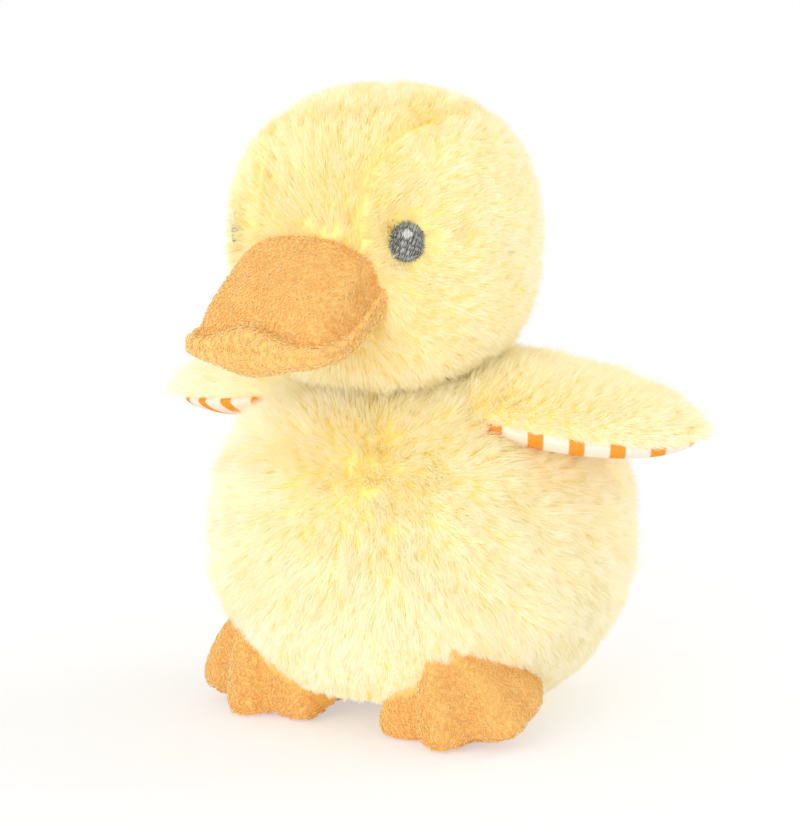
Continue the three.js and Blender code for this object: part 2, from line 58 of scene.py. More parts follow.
towards_camera = Vector((
    math.sin(camera_turn) * math.cos(camera_rise),
    -math.cos(camera_turn) * math.cos(camera_rise),
    math.sin(camera_rise),
))
camera = bpy.data.objects.new("camera", bpy.data.cameras.new("camera"))
bpy.context.collection.objects.link(camera)
camera.location = camera_target + camera_distance * towards_camera
camera.rotation_euler = (-towards_camera).to_track_quat("-Z", "Y").to_euler()
camera.data.sensor_fit = "HORIZONTAL"
camera.data.lens = camera.data.sensor_width * pixels_per_metre * camera_distance / picture_width
camera.data.shift_x = (picture_width / 2 - target_pixel[0]) / picture_width
camera.data.shift_y = (target_pixel[1] - picture_height / 2) / picture_width
camera.data.clip_start = 0.05
bpy.context.scene.camera = camera

# Studio light: a white tent all round, with a soft lamp over the camera's left shoulder and a
# weaker one behind the duck. Seen directly, the tent is plain white.

tent_level = 0.91
key_place = (0.15, -1.1, 0.42)
key_width = 0.7
key_level = 0.31  # of a surface that faces the lamp, beside the tent's own
back_place = (0.5, 0.8, 0.7)
back_width = 0.6
back_level = 0.2
pile_bounces = 24  # light goes on bouncing deep between the pale strands


class Wire:
    """A socket of a material's nodes. Sums, products and powers of it add Math nodes."""

    def __init__(self, finish, socket):
        self.finish = finish
        self.socket = socket

    def math(self, operation, *others):
        inputs = dict(enumerate((self, *others)))
        return self.finish.node("ShaderNodeMath", {"operation": operation}, inputs)

    __add__ = partialmethod(math, "ADD")
    __sub__ = partialmethod(math, "SUBTRACT")
    __mul__ = partialmethod(math, "MULTIPLY")
    __truediv__ = partialmethod(math, "DIVIDE")
    __pow__ = partialmethod(math, "POWER")


class Finish:
    """A material, or the world, whose nodes all come from one method."""

    def __init__(self, owner):
        self.owner = owner
        owner.use_nodes = True
        owner.node_tree.nodes.clear()

    def node(self, kind, settings=None, inputs=None, out=0):
        """A node of this kind: its settings first, then the values or links of its sockets."""
        made = self.owner.node_tree.nodes.new(kind)
        for name, value in (settings or {}).items():
            setattr(made, name, value)
        for name, value in (inputs or {}).items():
            if isinstance(value, Wire):
                self.owner.node_tree.links.new(value.socket, made.inputs[name])
            else:
                made.inputs[name].default_value = value
        return Wire(self, made.outputs[out]) if made.outputs else made

    def mix(self, amount, first, second):
        """One colour, and more and more of another."""
        inputs = {0: amount, 6: first, 7: second}
        return self.node("ShaderNodeMix", {"data_type": "RGBA"}, inputs, out=2)

    def steps(self, value, low, high):
        """0 at low, 1 at high, and smooth between them."""
        settings = {"interpolation_type": "SMOOTHSTEP"}
        return self.node("ShaderNodeMapRange", settings, {0: value, 1: low, 2: high, 3: 0, 4: 1})

    def place(self):
        """The place on the piece, in metres."""
        return self.node("ShaderNodeTexCoord", out=3)

    def noise(self, size, detail=2):
        """Soft grain, whose grains are about this size in metres."""
        inputs = {"Vector": self.place(), "Scale": 1 / size, "Detail": detail}
        return self.node("ShaderNodeTexNoise", None, inputs)

    def cloth(self, colour, height=None, depth=0.0):
        """A dry, matt surface of this colour, with bumps of this height, as a share of depth."""
        inputs = {"Base Color": colour, "Roughness": 1, "Specular IOR Level": 0}
        if height is not None:
            inputs["Normal"] = self.node("ShaderNodeBump", None, {"Distance": depth, "Height": height})
        surface = self.node("ShaderNodeBsdfPrincipled", None, inputs)
        self.node("ShaderNodeOutputMaterial", None, {"Surface": surface})
        return self.owner


def material(name):
    """A new material, with no nodes yet."""
    return Finish(bpy.data.materials.new(name))


def dye(red, green, blue):
    """A colour as a picture states it, from 0 to 255, as Blender's light level."""
    share = np.array((red, green, blue)) / 255
    light = np.where(share <= 0.04045, share / 12.92, ((share + 0.055) / 1.055) ** 2.4)
    return (*light, 1)


bpy.context.scene.view_settings.view_transform = "Standard"
bpy.context.scene.cycles.max_bounces = pile_bounces
bpy.context.scene.cycles.diffuse_bounces = pile_bounces
world = bpy.data.worlds.new("tent")
bpy.context.scene.world = world
tent = Finish(world)
camera_ray, glossy_ray, through_ray = [
    tent.node("ShaderNodeLightPath", out=number) for number in (0, 3, 6)
]
direct = camera_ray.math("MAXIMUM", glossy_ray).math("MAXIMUM", through_ray)
glow = {"Color": (1, 1, 1, 1), "Strength": direct * (1 - tent_level) + tent_level}
sky = tent.node("ShaderNodeBackground", None, glow)
tent.node("ShaderNodeOutputWorld", None, {"Surface": sky})


def lamp(name, place, width, level):
    """A square lamp aimed at the duck, as strong as gives a facing surface this level."""
    light = bpy.data.lights.new(name, "AREA")
    light.size = width
    light.energy = level * math.pi ** 2 * (Vector(place) - camera_target).length_squared
    holder = bpy.data.objects.new(name, light)
    bpy.context.collection.objects.link(holder)
    holder.location = place
    holder.rotation_euler = (camera_target - Vector(place)).to_track_quat("-Z", "Y").to_euler()


lamp("key_lamp", key_place, key_width, key_level)
lamp("back_lamp", back_place, back_width, back_level)

# Floor: white paper that keeps the duck's soft shadow, and fades into the tent round it.

floor_width = 3.0
floor_near = 0.1  # the paper is plain up to here
floor_far = 0.3  # and from here on as white as the tent
floor_glow = 0.5  # share of its light that comes through it from below
floor_white = 0.97  # share of the light on it that it gives back

edge = floor_width / 2
corners = [(-edge, -edge, 0), (edge, -edge, 0), (edge, edge, 0), (-edge, edge, 0)]
paper_mesh = bpy.data.meshes.new("floor")
paper_mesh.from_pydata(corners, [], [(0, 1, 2, 3)])
floor = bpy.data.objects.new("floor", paper_mesh)
bpy.context.collection.objects.link(floor)
paper = material("floor_paper")
away = paper.node("ShaderNodeVectorMath", {"operation": "LENGTH"}, {0: paper.place()}, out=1)
matt = paper.node("ShaderNodeBsdfDiffuse", None, {"Color": (floor_white,) * 3 + (1,)})
white = paper.node("ShaderNodeEmission", None, {"Color": (1, 1, 1, 1), "Strength": 1})
glow = paper.steps(away, floor_near, floor_far) * (1 - floor_glow) + floor_glow
faded = glow * paper.node("ShaderNodeLightPath")
both = paper.node("ShaderNodeMixShader", None, {0: faded, 1: matt, 2: white})
paper.node("ShaderNodeOutputMaterial", None, {"Surface": both})
paper_mesh.materials.append(paper.owner)

# Body: a bib, two sides and a seat of long-pile plush, sewn into a ball and stuffed. Each panel is
# its backing with the pile on it. The pile stands in tufts, almost upright on the breast.

body_middle = np.array((0, 0, 0.0515))
body_half = np.array((0.060, 0.0615, 0.0575))
body_fullness = 2.2
bib_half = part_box("body_front_panel")[1].x
seat_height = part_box("body_base_panel")[1].z
seat_radius = 0.0405
seat_level = 0.0012  # of the seat's backing above the floor
seat_rise = math.radians(15)  # slope of its front
seat_rise_start = 0.006  # how far ahead of the middle that begins
seat_rise_ease = 0.004  # over which it begins
body_backing = body_half - 0.0012
sheet_reach = 0.9999  # share of the half width beyond which a ring shrinks no more
row_spread = 1.6  # power by which a sheet's rows close up towards its far edge
seam_tuck = 0.003
seam_half = 0.0002  # from the middle plane to a panel's edge
root_depth = 0.002  # inside a neighbour, where the tufts end
sheet_depth = 0.003  # and where the backing does
panel_steps = 40  # over the front, and over the back
side_rows = 20
middle_rows = 18
seat_rings = 12
seat_steps = 60
golden_share = 3 - math.sqrt(5)  # the golden angle, in half turns
tuft_gap = 0.0022  # from one tuft to the next
tuft_share = 1.08  # of a rounded ball's area, beside a round one's
tuft_stray = 0.3  # share of the gap by which a tuft stands off its place
tuft_radius = 0.0015
tuft_gather = 0.35  # share of the tuft's radius that its tips have drawn in
strands_in_tuft = 32
strands_in_seat_tuft = 12
strand_width = 0.00026
strand_corners = ((0.5, 0.3), (-0.5, 0.3), (0, -0.5))  # of its root, in widths
strand_sink = 0.0006  # of its root inside the backing
strand_lean_spread = 0.16
strand_turn_spread = 0.26
strand_lengths = (0.7, 1.1)  # shares of its tuft's
strand_tone_spread = 0.07
strand_map = (0.04, 0.04, 0.05, 0.98)  # height in the map of its corners and its tip
map_step = 0.008  # across the map, from one corner to the next
sheet_map = (0.1, 0.2), (0.002, 0.03)  # band of the map that a backing has
ground_edge = (0.031, 0.039)  # height in the map between it and the strands
tuft_lean_spread = 0.12
tuft_lengths = (0.88, 1.1)
tuft_tone_spread = 0.1
body_pile = 0.0064  # length of a strand
body_pile_upright = math.radians(37)  # its lean on the breast
body_pile_laid = math.radians(47)  # and on the back
body_ruffle = 0.45  # of its lay
breast = np.array((0, -0.053, 0.090))  # from where it is combed
breast_reach = 0.085  # from there to where it is laid down fully
breast_tuft = 0.3  # share of that where it stands up more, and its least share of the lean
low_start = 0.046  # height below which it shortens and turns in
low_span = 0.036
painted_light_front_half = 0.07  # from the middle plane to where the front, painted paler as light against the shade under the head, ends
trim_middle = (0.034, -0.036, 0.010)  # of a ball round the foot that cuts the pile short
trim_half = (0.030, 0.024, 0.020)
trim_start = 0.85  # share of that ball from where the pile grows longer
trim_span = 0.5
firm_fill = 0.8
floor_gap = 0.0004
head_middle = np.array((0, -0.020, 0.143))
head_half = np.array((0.042, 0.042, 0.0425))
head_fullness = 2.4


def unit(vectors):
    """Each vector at length 1."""
    return vectors / np.maximum(np.linalg.norm(vectors, axis=-1, keepdims=True), 1e-12)


def round_level(points, middle, half, fullness):
    """1 on a rounded ball, and less inside: (|x/a|^n + |y/b|^n + |z/c|^n)^(1/n), n being the fullness."""
    return (np.abs((points - middle) / half) ** fullness).sum(-1) ** (1 / fullness)


def in_body(points, sink=0.0):
    """Whether each point lies inside the body, this deep at least."""
    return round_level(points, body_middle, body_half - sink, body_fullness) < 1


def in_head(points, sink=0.0):
    """Whether each point lies inside the head, this deep at least."""
    return round_level(points, head_middle, head_half - sink, head_fullness) < 1


def seat_at(points):
    """The height of the seat at a place: level, and sloping up to the front."""
    ahead = -points[..., 1] - seat_rise_start
    return seat_level + math.tan(seat_rise) * (ahead + np.sqrt(ahead ** 2 + seat_rise_ease ** 2)) / 2


def seated(points):
    """The same points, with those below the seat raised to it."""
    height = np.maximum(points[..., 2], seat_at(points))
    return np.concatenate((points[..., :2], height[..., None]), -1)


def round_roots(middle, half, fullness, rng):
    """Points spread over a rounded ball, and the outward normals there. They come at even steps in
    height, with the golden angle from one to the next, and a little off their places."""
    count = int(4 * math.pi * (half.prod() ** (2 / 3)) * tuft_share / tuft_gap ** 2)
    number = np.arange(count) + 0.5
    height = 1 - 2 * number / count
    turn = number * math.pi * golden_share
    flat = np.sqrt(1 - height ** 2)
    way = np.stack((flat * np.cos(turn), flat * np.sin(turn), height), 1)
    way = unit(way + rng.normal(0, tuft_stray * tuft_gap / half.mean(), way.shape))
    offset = way / round_level(way, 0, half, fullness)[:, None]
    normals = unit(np.sign(offset) * np.abs(offset / half) ** (fullness - 1) / half)
    return middle + offset, normals


def grid_shape(points, flip=False):
    """Faces over a grid of rows and columns, with a band of the map that no strand has."""
    rows, columns = points.shape[:2]
    number = np.arange(rows * columns).reshape(rows, columns)
    corners = (number[:-1, :-1], number[:-1, 1:], number[1:, 1:], number[1:, :-1])
    faces = np.stack([corner.ravel() for corner in corners], 1)
    bands = np.linspace(*sheet_map[0], rows), np.linspace(*sheet_map[1], columns)
    return {
        "points": points.reshape(-1, 3),
        "map": np.stack(np.meshgrid(*bands, indexing="ij"), -1).reshape(-1, 2),
        "faces": faces[:, ::-1] if flip else faces,
        "smooth": True,
    }


def ring_way(turns):
    """The way at each turn of a ring about the X axis, from its front over its top."""
    return np.stack((np.zeros_like(turns), -np.cos(turns), np.sin(turns)), 1)


def round_sheet(middle, half, fullness, turns, low, high, rows):
    """Part of a rounded ball, as rings about its X axis: each row is a ring over these turns, and lies
    further out, from low to high. Its first and last rows turn in at the seams."""
    across = np.linspace(0, 1, rows)[:, None]
    width = low + (high - low) * (1 - (1 - across) ** row_spread)
    size = (1 - np.minimum(np.abs(width / half[0]), sheet_reach) ** fullness) ** (1 / fullness)
    way = ring_way(turns)
    reach = way / round_level(way, 0, half, fullness)[:, None]
    offset = size[..., None] * reach + width[..., None] * (1, 0, 0)
    tucked = offset * (1 - seam_tuck / half.mean())
    return grid_shape(seated(middle + np.concatenate((tucked[:1], offset, tucked[-1:]))), True)


def pile_shape(rng, roots, normals, lay, lean, length, tone, strands=strands_in_tuft):
    """Tufts of pile. A tuft's strands start on a golden-angle disc round its root, lean from the normal
    towards the lay, each a little its own way, and draw together at their tips. A strand is three
    faces that meet in a point, and its map runs from root to tip at its own tone."""
    tufts = len(roots)
    lay = unit(lay - normals * (lay * normals).sum(1, keepdims=True))[:, None]
    roots, normals = roots[:, None], normals[:, None]
    side = np.cross(normals, lay)
    number = np.arange(strands) + 0.5
    angle = number * math.pi * golden_share + rng.uniform(0, 2 * math.pi, (tufts, 1))
    offset = np.cos(angle)[..., None] * lay + np.sin(angle)[..., None] * side
    offset = offset * (tuft_radius * np.sqrt(number / strands))[None, :, None]
    tilt = (lean[:, None] + rng.normal(0, strand_lean_spread, (tufts, strands)))[..., None]
    turn = rng.normal(0, strand_turn_spread, (tufts, strands))[..., None]
    heading = np.cos(turn) * lay + np.sin(turn) * side
    reach = (length[:, None] * rng.uniform(*strand_lengths, (tufts, strands)))[..., None]
    start = roots + offset - strand_sink * normals
    tip = roots + offset * (1 - tuft_gather) + reach * (np.cos(tilt) * normals + np.sin(tilt) * heading)
    across = strand_width * unit(np.cross(normals, heading))
    over = strand_width * unit(np.cross(tip - start, across))
    corners = [start + sideways * across + rise * over for sideways, rise in strand_corners]
    points = np.stack((*corners, tip), 2).reshape(-1, 3)
    points[:, 2] = np.maximum(points[:, 2], floor_gap)
    total = tufts * strands
    shade = tone[:, None] + rng.normal(0, strand_tone_spread, (tufts, strands))
    across_map = np.clip(shade, 0.02, 0.98).reshape(-1, 1) + np.array((-map_step, 0, map_step, 0))
    along_map = np.broadcast_to(strand_map, (total, 4))
    first = 4 * np.arange(total)[:, None]
    return {
        "points": points,
        "map": np.stack((across_map, along_map), -1).reshape(-1, 2),
        "faces": np.concatenate([first + corner for corner in ((0, 1, 3), (1, 2, 3), (2, 0, 3))]),
        "smooth": False,
    }


def without(shape, inside, depth):
    """The shape without the faces whose corners all lie this deep inside something else."""
    return {**shape, "faces": shape["faces"][~inside(shape["points"], depth)[shape["faces"]].all(1)]}


def mirrored(shape):
    """The same shape on the duck's other side."""
    return {**shape, "points": shape["points"] * (-1, 1, 1), "faces": shape["faces"][:, ::-1]}


def make_piece(name, shapes, finish, body, node):
    """One object from shapes. It rides on a body, and stands for a CAD node."""
    points = np.concatenate([shape["points"] for shape in shapes])
    first = np.cumsum([0] + [len(shape["points"]) for shape in shapes])
    loops = np.concatenate([(shape["faces"] + start).ravel() for shape, start in zip(shapes, first)])
    sizes = np.concatenate([np.full(len(shape["faces"]), shape["faces"].shape[1]) for shape in shapes])
    smooth = np.concatenate([np.full(len(shape["faces"]), shape["smooth"]) for shape in shapes])
    mesh = bpy.data.meshes.new(name)
    mesh.vertices.add(len(points))
    mesh.vertices.foreach_set("co", points.astype(np.float32).ravel())
    mesh.loops.add(len(loops))
    mesh.loops.foreach_set("vertex_index", loops.astype(np.int32))
    mesh.polygons.add(len(sizes))
    mesh.polygons.foreach_set("loop_start", (np.cumsum(sizes) - sizes).astype(np.int32))
    mesh.polygons.foreach_set("use_smooth", smooth)
    mesh.update(calc_edges=True)
    if "map" in shapes[0]:
        flat = np.concatenate([shape["map"] for shape in shapes])[loops]
        mesh.uv_layers.new(name="OFBake").uv.foreach_set("vector", flat.astype(np.float32).ravel())
    mesh.materials.append(finish)
    piece = bpy.data.objects.new(name, mesh)
    bpy.context.collection.objects.link(piece)
    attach(piece, body)
    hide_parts(node)


def make_pairs(limb, *pieces):
    """The same pieces on both sides, mirrored on the right. They ride on that side's limb, or the head."""
    for side, turned in (("left", dict), ("right", mirrored)):
        body = f"{side}_{limb}" if limb else "head"
        for name, shapes, finish, node, slot, fill in pieces:
            sided = [turned(shape) for shape in shapes]
            make_piece(f"{side}_{name}", sided, finish, body, f"{side}_{node}")


def strand_finish(name, *colours):
    """Dyed strands: each has its own tone, across the map, and is paler from root to tip, up the map, which
    paints the shade deep in the pile.
    The cloth that they stand on has the map's lowest edge, and the ground's colour."""
    deep_root, pale_root, deep_tip, pale_tip, ground = [dye(*colour) for colour in colours]
    pile = material(name)
    spot = pile.node("ShaderNodeUVMap", {"uv_map": "OFBake"})
    tone, height = [pile.node("ShaderNodeSeparateXYZ", None, {0: spot}, out=number) for number in (0, 1)]
    root = pile.mix(tone, deep_root, pale_root)
    tip = pile.mix(tone, deep_tip, pale_tip)
    on_strand = pile.steps(height, *ground_edge)
    return pile.cloth(pile.mix(on_strand, ground, pile.mix(height ** 0.8, root, tip)))


def ripple(points, size, rng):
    """A smooth swing between about -1 and 1 over space: six sine waves of about this length, each in a
    direction of its own, added up and scaled down."""
    ways = unit(rng.normal(0, 1, (6, 3))) * 2 * math.pi / size * rng.uniform(0.7, 1.4, (6, 1))
    return np.sin(points @ ways.T + rng.uniform(0, 2 * math.pi, 6)).sum(1) / 2.4


def tuft_length(rng, roots, whole, swing):
    """Each tuft's length: the whole, longer and shorter in waves of 20 mm, and a little its own."""
    return whole * (1 + swing * ripple(roots, 0.02, rng)) * rng.uniform(*tuft_lengths, len(roots))


def tuft_tone(rng, roots, tone, swing):
    """Each tuft's tone: this one, paler and deeper in waves of 12 mm, and a little its own."""
    return tone + swing * ripple(roots, 0.012, rng) + rng.normal(0, tuft_tone_spread, len(roots))


rng = np.random.default_rng(11)
# The yellow plush: its roots are deeper than its tips as painted shade deep in the pile, and its ground
# colour, last, is deeper still, as painted shade where the backing shows between the tufts.
plush = strand_finish(
    "yellow_plush", (252, 241, 164), (255, 253, 222), (253, 246, 203), (255, 253, 245), (251, 235, 158))

roots, normals = round_roots(body_middle, body_backing, body_fullness, rng)
clear = ~in_head(roots, root_depth)
roots, normals = roots[clear], normals[clear]
in_seat = roots[:, 2] < np.maximum(seat_at(roots), seat_height)
sunk = (roots[:, 2] < seat_at(roots))[:, None]
normals = np.where(sunk, (0, -math.sin(seat_rise) * 0.5, -math.cos(seat_rise)), normals)
roots = seated(roots)
from_breast = roots - breast
around = np.clip(np.linalg.norm(from_breast, axis=1) / breast_reach, 0, 1)
ruffle = np.stack([ripple(roots, 0.016, rng) for _ in range(3)], 1)
lay = unit(from_breast) + (0, 0, -0.3) + body_ruffle * ruffle
lean = body_pile_upright + (body_pile_laid - body_pile_upright) * around
lean = lean + rng.normal(0, tuft_lean_spread, len(roots))
lean = lean * np.clip(around / breast_tuft, breast_tuft, 1)  # no bald star where it is combed from
length = tuft_length(rng, roots, body_pile, 0.1)


def foot_trim(points):
    """0 close to a foot, and 1 some 9 mm away: strands are cut short near it."""
    over = np.stack((np.abs(points[:, 0]), points[:, 1], points[:, 2]), 1)
    reach = np.linalg.norm((over - trim_middle) / trim_half, axis=1)
    return np.clip((reach - trim_start) / trim_span, 0, 1)


low = np.clip((low_start - roots[:, 2]) / low_span, 0, 1)
lay = lay - low[:, None] * (0.6 * roots * (1, 1, 0) / 0.06 + (0, 0, 0.8))
length = length * (0.5 + 0.5 * foot_trim(roots)) * (1 - 0.55 * low)
lean = lean + 0.25 * low
# Painted light: the pile that faces forward gets a paler tone, against the shade that the head casts on the
# breast.
front = np.clip(-normals[:, 1], 0, 1) * np.clip(1 - np.abs(roots[:, 0]) / painted_light_front_half, 0, 1)
tone = tuft_tone(rng, roots, 0.76 + 0.16 * front, 0.08)
in_bib = ~in_seat & (np.abs(roots[:, 0]) < bib_half) & (roots[:, 1] < 0)
body_sides = {
    "front": in_bib,
    "left": ~in_seat & ~in_bib & (roots[:, 0] > 0),
    "right": ~in_seat & ~in_bib & (roots[:, 0] <= 0),
    "base": in_seat,
}
seat_turn = math.asin((body_middle[2] - seat_height) / body_half[2])
bib_turns = np.linspace(-seat_turn, math.pi / 2, panel_steps)
back_turns = np.linspace(math.pi / 2, math.pi + seat_turn, panel_steps)
side_turns = np.concatenate((bib_turns, back_turns))
bib_edge = np.full_like(bib_turns, bib_half)
side_start = np.concatenate((bib_edge, np.full_like(back_turns, seam_half)))
side_end = np.full_like(side_turns, body_backing[0])
body_ball = body_middle, body_backing, body_fullness
side_sheet = round_sheet(*body_ball, side_turns, side_start, side_end, side_rows)
seat_ring = np.linspace(0, seat_radius, seat_rings)[:, None]
seat_way = np.linspace(0, 2 * math.pi, seat_steps)
seat_points = seat_ring[..., None] * np.stack((np.cos(seat_way), -np.sin(seat_way), 0 * seat_way), -1)
seat_size = round_level(seat_points * (1, 1, 0), 0, body_backing, body_fullness) ** body_fullness
seat_points[..., 2] = body_middle[2] - body_backing[2] * (1 - seat_size) ** (1 / body_fullness)
body_sheets = {
    "front": round_sheet(*body_ball, bib_turns, -bib_edge, bib_edge, middle_rows),
    "left": side_sheet,
    "right": mirrored(side_sheet),
    "base": grid_shape(seated(seat_points), True),
}
for side, chosen in body_sides.items():
    backing = without(body_sheets[side], in_head, sheet_depth)
    strands = strands_in_seat_tuft if side == "base" else strands_in_tuft
    tufts = [values[chosen] for values in (roots, normals, lay, lean, length, tone)]
    make_piece(f"body_{side}_plush", [backing, pile_shape(rng, *tufts, strands)], plush, "body",
               f"body_{side}_panel")

# Head: a crown panel that runs from the bill over the top to the neck, between two cheek panels.
# The pile is combed back from the top of the bill. It parts at the crown's seams. It is short round
# the eyes and the bill, but stands up before each eye.

head_backing = head_half - 0.0004
head_pile = 0.0058
head_pile_laid = math.radians(54)
combed_from = np.array((0, -0.061, 0.136))
crown_widths = (0.0165, 0.0165, 0.025, 0.012, 0.012)  # half its width, from before the head to behind it
eye_turn = math.radians(41)  # from straight ahead
eye_rise = math.radians(5.4)
eye_width = 0.0096
eye_height = 0.0108
eye_clear = 1.1  # from the eye's middle, in half eyes, where the pile begins
eye_trim = 1.75  # and where it has its full length
eye_trim_span = 0.5
seam_spread = 0.0018  # reach of the parting at the crown's seams
bill_half = 0.0225  # half the bill's width where it meets the head
bill_drop = 0.022  # of the bill's seam below the middle of the head
bill_dome = 0.0255
bill_lower = 0.0035  # of its lower panel below the seam
bill_corner_rise = 0.0090  # of that panel over the seam at its two corners


def curve_through(points, at):
    """A smooth curve through points that come at 0, 1, 2 and on: a cubic between two of them, whose
    slope at each is half the step from the point before it to the point after."""
    points = np.asarray(points, float)
    first = np.clip(np.floor(at).astype(int), 0, len(points) - 2)
    share = (at - first).reshape(np.shape(at) + (1,) * (points.ndim - 1))
    before, start = points[np.maximum(first - 1, 0)], points[first]
    end, after = points[first + 1], points[np.minimum(first + 2, len(points) - 1)]
    bend = (2 * before - 5 * start + 4 * end - after) * share ** 2
    twist = (3 * start - before - 3 * end + after) * share ** 3
    return start + ((end - before) * share + bend + twist) / 2


def crown_half(y):
    """Half the crown panel's width at a place from the front of the head to its back."""
    return curve_through(crown_widths, np.clip((y - head_middle[1]) / head_half[1] + 2, 0, 4))


def in_bill_base(points, margin):
    """Inside the arch where the bill meets the head, grown by a margin."""
    across = np.clip(np.abs(points[:, 0]) / (bill_half + margin), 0, 1)
    rise = points[:, 2] - (head_middle[2] - bill_drop)
    above = (bill_dome + margin) * (1 - across ** 2.6) ** 0.45
    below = bill_lower + margin - (bill_lower + bill_corner_rise) * across ** 2
    return (across < 1) & (rise < above) & (rise > -below) & (points[:, 1] < head_middle[1] - 0.02)


eye_way = np.array((
    math.sin(eye_turn) * math.cos(eye_rise),
    -math.cos(eye_turn) * math.cos(eye_rise),
    math.sin(eye_rise),
))
eye_across = np.array((math.cos(eye_turn), math.sin(eye_turn), 0))
eye_up = np.cross(eye_way, eye_across)
eye_middle = head_middle + eye_way / round_level(eye_way, 0, head_half, head_fullness)


roots, normals = round_roots(head_middle, head_backing, head_fullness, rng)
clear = ~in_bill_base(roots, -0.0005) & ~in_body(roots, root_depth)
roots, normals = roots[clear], normals[clear]
side = np.where(roots[:, :1] < 0, (-1, 1, 1), (1, 1, 1))  # turns the right eye's side into the left's
off_eye = roots - eye_middle * side
eye_side = (off_eye * side) @ eye_across / (eye_width / 2)
eye_level = np.hypot(eye_side, (off_eye * side) @ eye_up / (eye_height / 2))
clear = eye_level > eye_clear
roots, normals, off_eye, side = roots[clear], normals[clear], off_eye[clear], side[clear]
at_eye = np.clip((eye_trim - eye_level[clear]) / eye_trim_span, 0, 1)
before_eye = at_eye * np.clip(-1.4 * eye_side[clear], 0, 1)  # it stands up there, towards the bill
seam_side = np.abs(roots[:, 0]) - crown_half(roots[:, 1])
chin = (roots[:, 1] < head_middle[1]) & (roots[:, 2] < head_middle[2])
at_seam = np.where(chin, 0, np.exp(-(seam_side / seam_spread) ** 2))
ruffle = np.stack([ripple(roots, 0.018, rng) for _ in range(3)], 1)
lay = unit(roots - combed_from) + 0.3 * ruffle
lay = lay * (1 - 0.75 * at_eye)[:, None] + unit(off_eye) * 0.75 * at_eye[:, None]
lay[:, 0] += 0.75 * at_seam * np.sign(seam_side) * side[:, 0]
on_top = np.clip(normals[:, 2], 0, 1) ** 2
lay[:, 1] -= 0.6 * on_top
lean = head_pile_laid * (1 - 0.55 * at_eye - 0.25 * before_eye) * (1 - 0.35 * on_top)
lean = lean + rng.normal(0, tuft_lean_spread, len(roots))
at_bill = 0.4 * in_bill_base(roots, 0.0022) + 0.15 * in_bill_base(roots, 0.0048)
length = tuft_length(rng, roots, head_pile, 0.08)
length = length * (1 - 0.3 * at_eye + 0.5 * before_eye) * (1 - 0.45 * at_seam) * (1 - 0.7 * at_bill)
length = length * (1 - 0.42 * normals[:, 0] ** 2 * (1 - before_eye)) * (1 - 0.24 * on_top)
# Painted shade: the tone is deeper in the partings at the crown's seams, and a little deeper on the top of the
# head, against the lamps' light there.
tone = 0.56 + 0.24 * np.clip((roots[:, 1] - head_middle[1]) / 0.04, -1, 1) - 0.5 * at_seam - 0.08 * on_top
tone = tuft_tone(rng, roots, tone, 0.08)
in_crown = (seam_side < 0) & ~chin
crown_turns = np.linspace(0.004, 1.5 * math.pi - 0.02, 70)
chin_turns = np.linspace(-math.pi / 2, -0.004, 24)
crown_edge = np.full(len(crown_turns), crown_widths[2])
for _ in range(3):  # the edge depends on how far forward it lies, and that on how wide the crown is
    size = (1 - (crown_edge / head_backing[0]) ** head_fullness) ** (1 / head_fullness)
    reach = size / round_level(ring_way(crown_turns), 0, head_backing, head_fullness)
    forward = reach * np.cos(crown_turns)
    crown_edge = crown_half(head_middle[1] - forward)
cheek_turns = np.concatenate((chin_turns, crown_turns))
cheek_start = np.concatenate((np.full(len(chin_turns), seam_half), crown_edge))
cheek_end = np.full(len(cheek_turns), head_backing[0])
head_ball = head_middle, head_backing, head_fullness
cheek = round_sheet(*head_ball, cheek_turns, cheek_start, cheek_end, side_rows)
crown = round_sheet(*head_ball, crown_turns, -crown_edge, crown_edge, middle_rows)
head_sides = {
    "crown": (crown, in_crown),
    "left": (cheek, ~in_crown & (roots[:, 0] > 0)),
    "right": (mirrored(cheek), ~in_crown & (roots[:, 0] <= 0)),
}
for side, (sheet, chosen) in head_sides.items():
    backing = without(sheet, in_body, sheet_depth)
    tufts = [values[chosen] for values in (roots, normals, lay, lean, length, tone)]
    make_piece(f"head_{side}_plush", [backing, pile_shape(rng, *tufts)], plush, "head",
               f"head_{side}_panel")

# Bill: two panels of curly orange fleece, sewn together round their edge, turned, stuffed, and sewn to
# the head. A fold runs round the dome, and the rim outside it is a thick roll.

bill_length = 0.030
bill_lip_depth = 0.009
bill_lip_height = 0.0026
bill_lip_half = 0.0252
bill_sag = math.atan2(0.003, bill_length)
bill_front_shares = ((0.54, 0.12), (0.88, 0.5))  # of the lip's half width, and of its depth
bill_side_shares = ((1.10, 0.5), (1.06, 1), (0.97, 1.6))  # of the base's half width, and from lip to head
bill_steps = 180
lip_start = -0.058  # where the front begins, in the bill's own frame
lip_span = 0.010
lip_middle = 0.011  # reach of the lip's raised middle
cheek_start = -0.068  # where the seam begins to rise to the cheeks
cheek_span = 0.026
seam_lip_rise = 0.0013
seam_cheek_rise = 0.0056
roll_width = 0.0042  # of the rim outside the fold, at the front
roll_width_back = 0.0022
roll_half = 0.0022  # half its thickness
roll_half_lip = 0.0037  # and more at the middle of the lip
roll_half_cheek = 0.0006  # and at the cheeks
roll_fullness = 2.2
fold_depth = 0.0006
fold_place = 1.1  # from the rim, in widths of the roll
dome_end = 0.0046  # from the tip
under_depth = 0.0035
seam_draw = 0.034  # share of its width by which a seam is drawn in
seam_reach = 0.0011  # how far above and below the seam that shows
sewn_depth = 0.001  # inside the head or the body, where a sewn-on piece's pile or curls end
curl_gap = 0.00095  # from one curl of the fleece to the next
curl_radius = 0.00062
curl_width = 0.00034
curl_turn = math.radians(230)
bill_filled = np.array((0.92, 0.92, 0.88))  # share of the bill that its filling takes up


def swell(bulge, share):
    """The height of a stuffed panel: bulge * (1 - share^3)^0.6, from its middle to its rim."""
    return bulge * np.maximum(1 - share ** 3, 0) ** 0.6


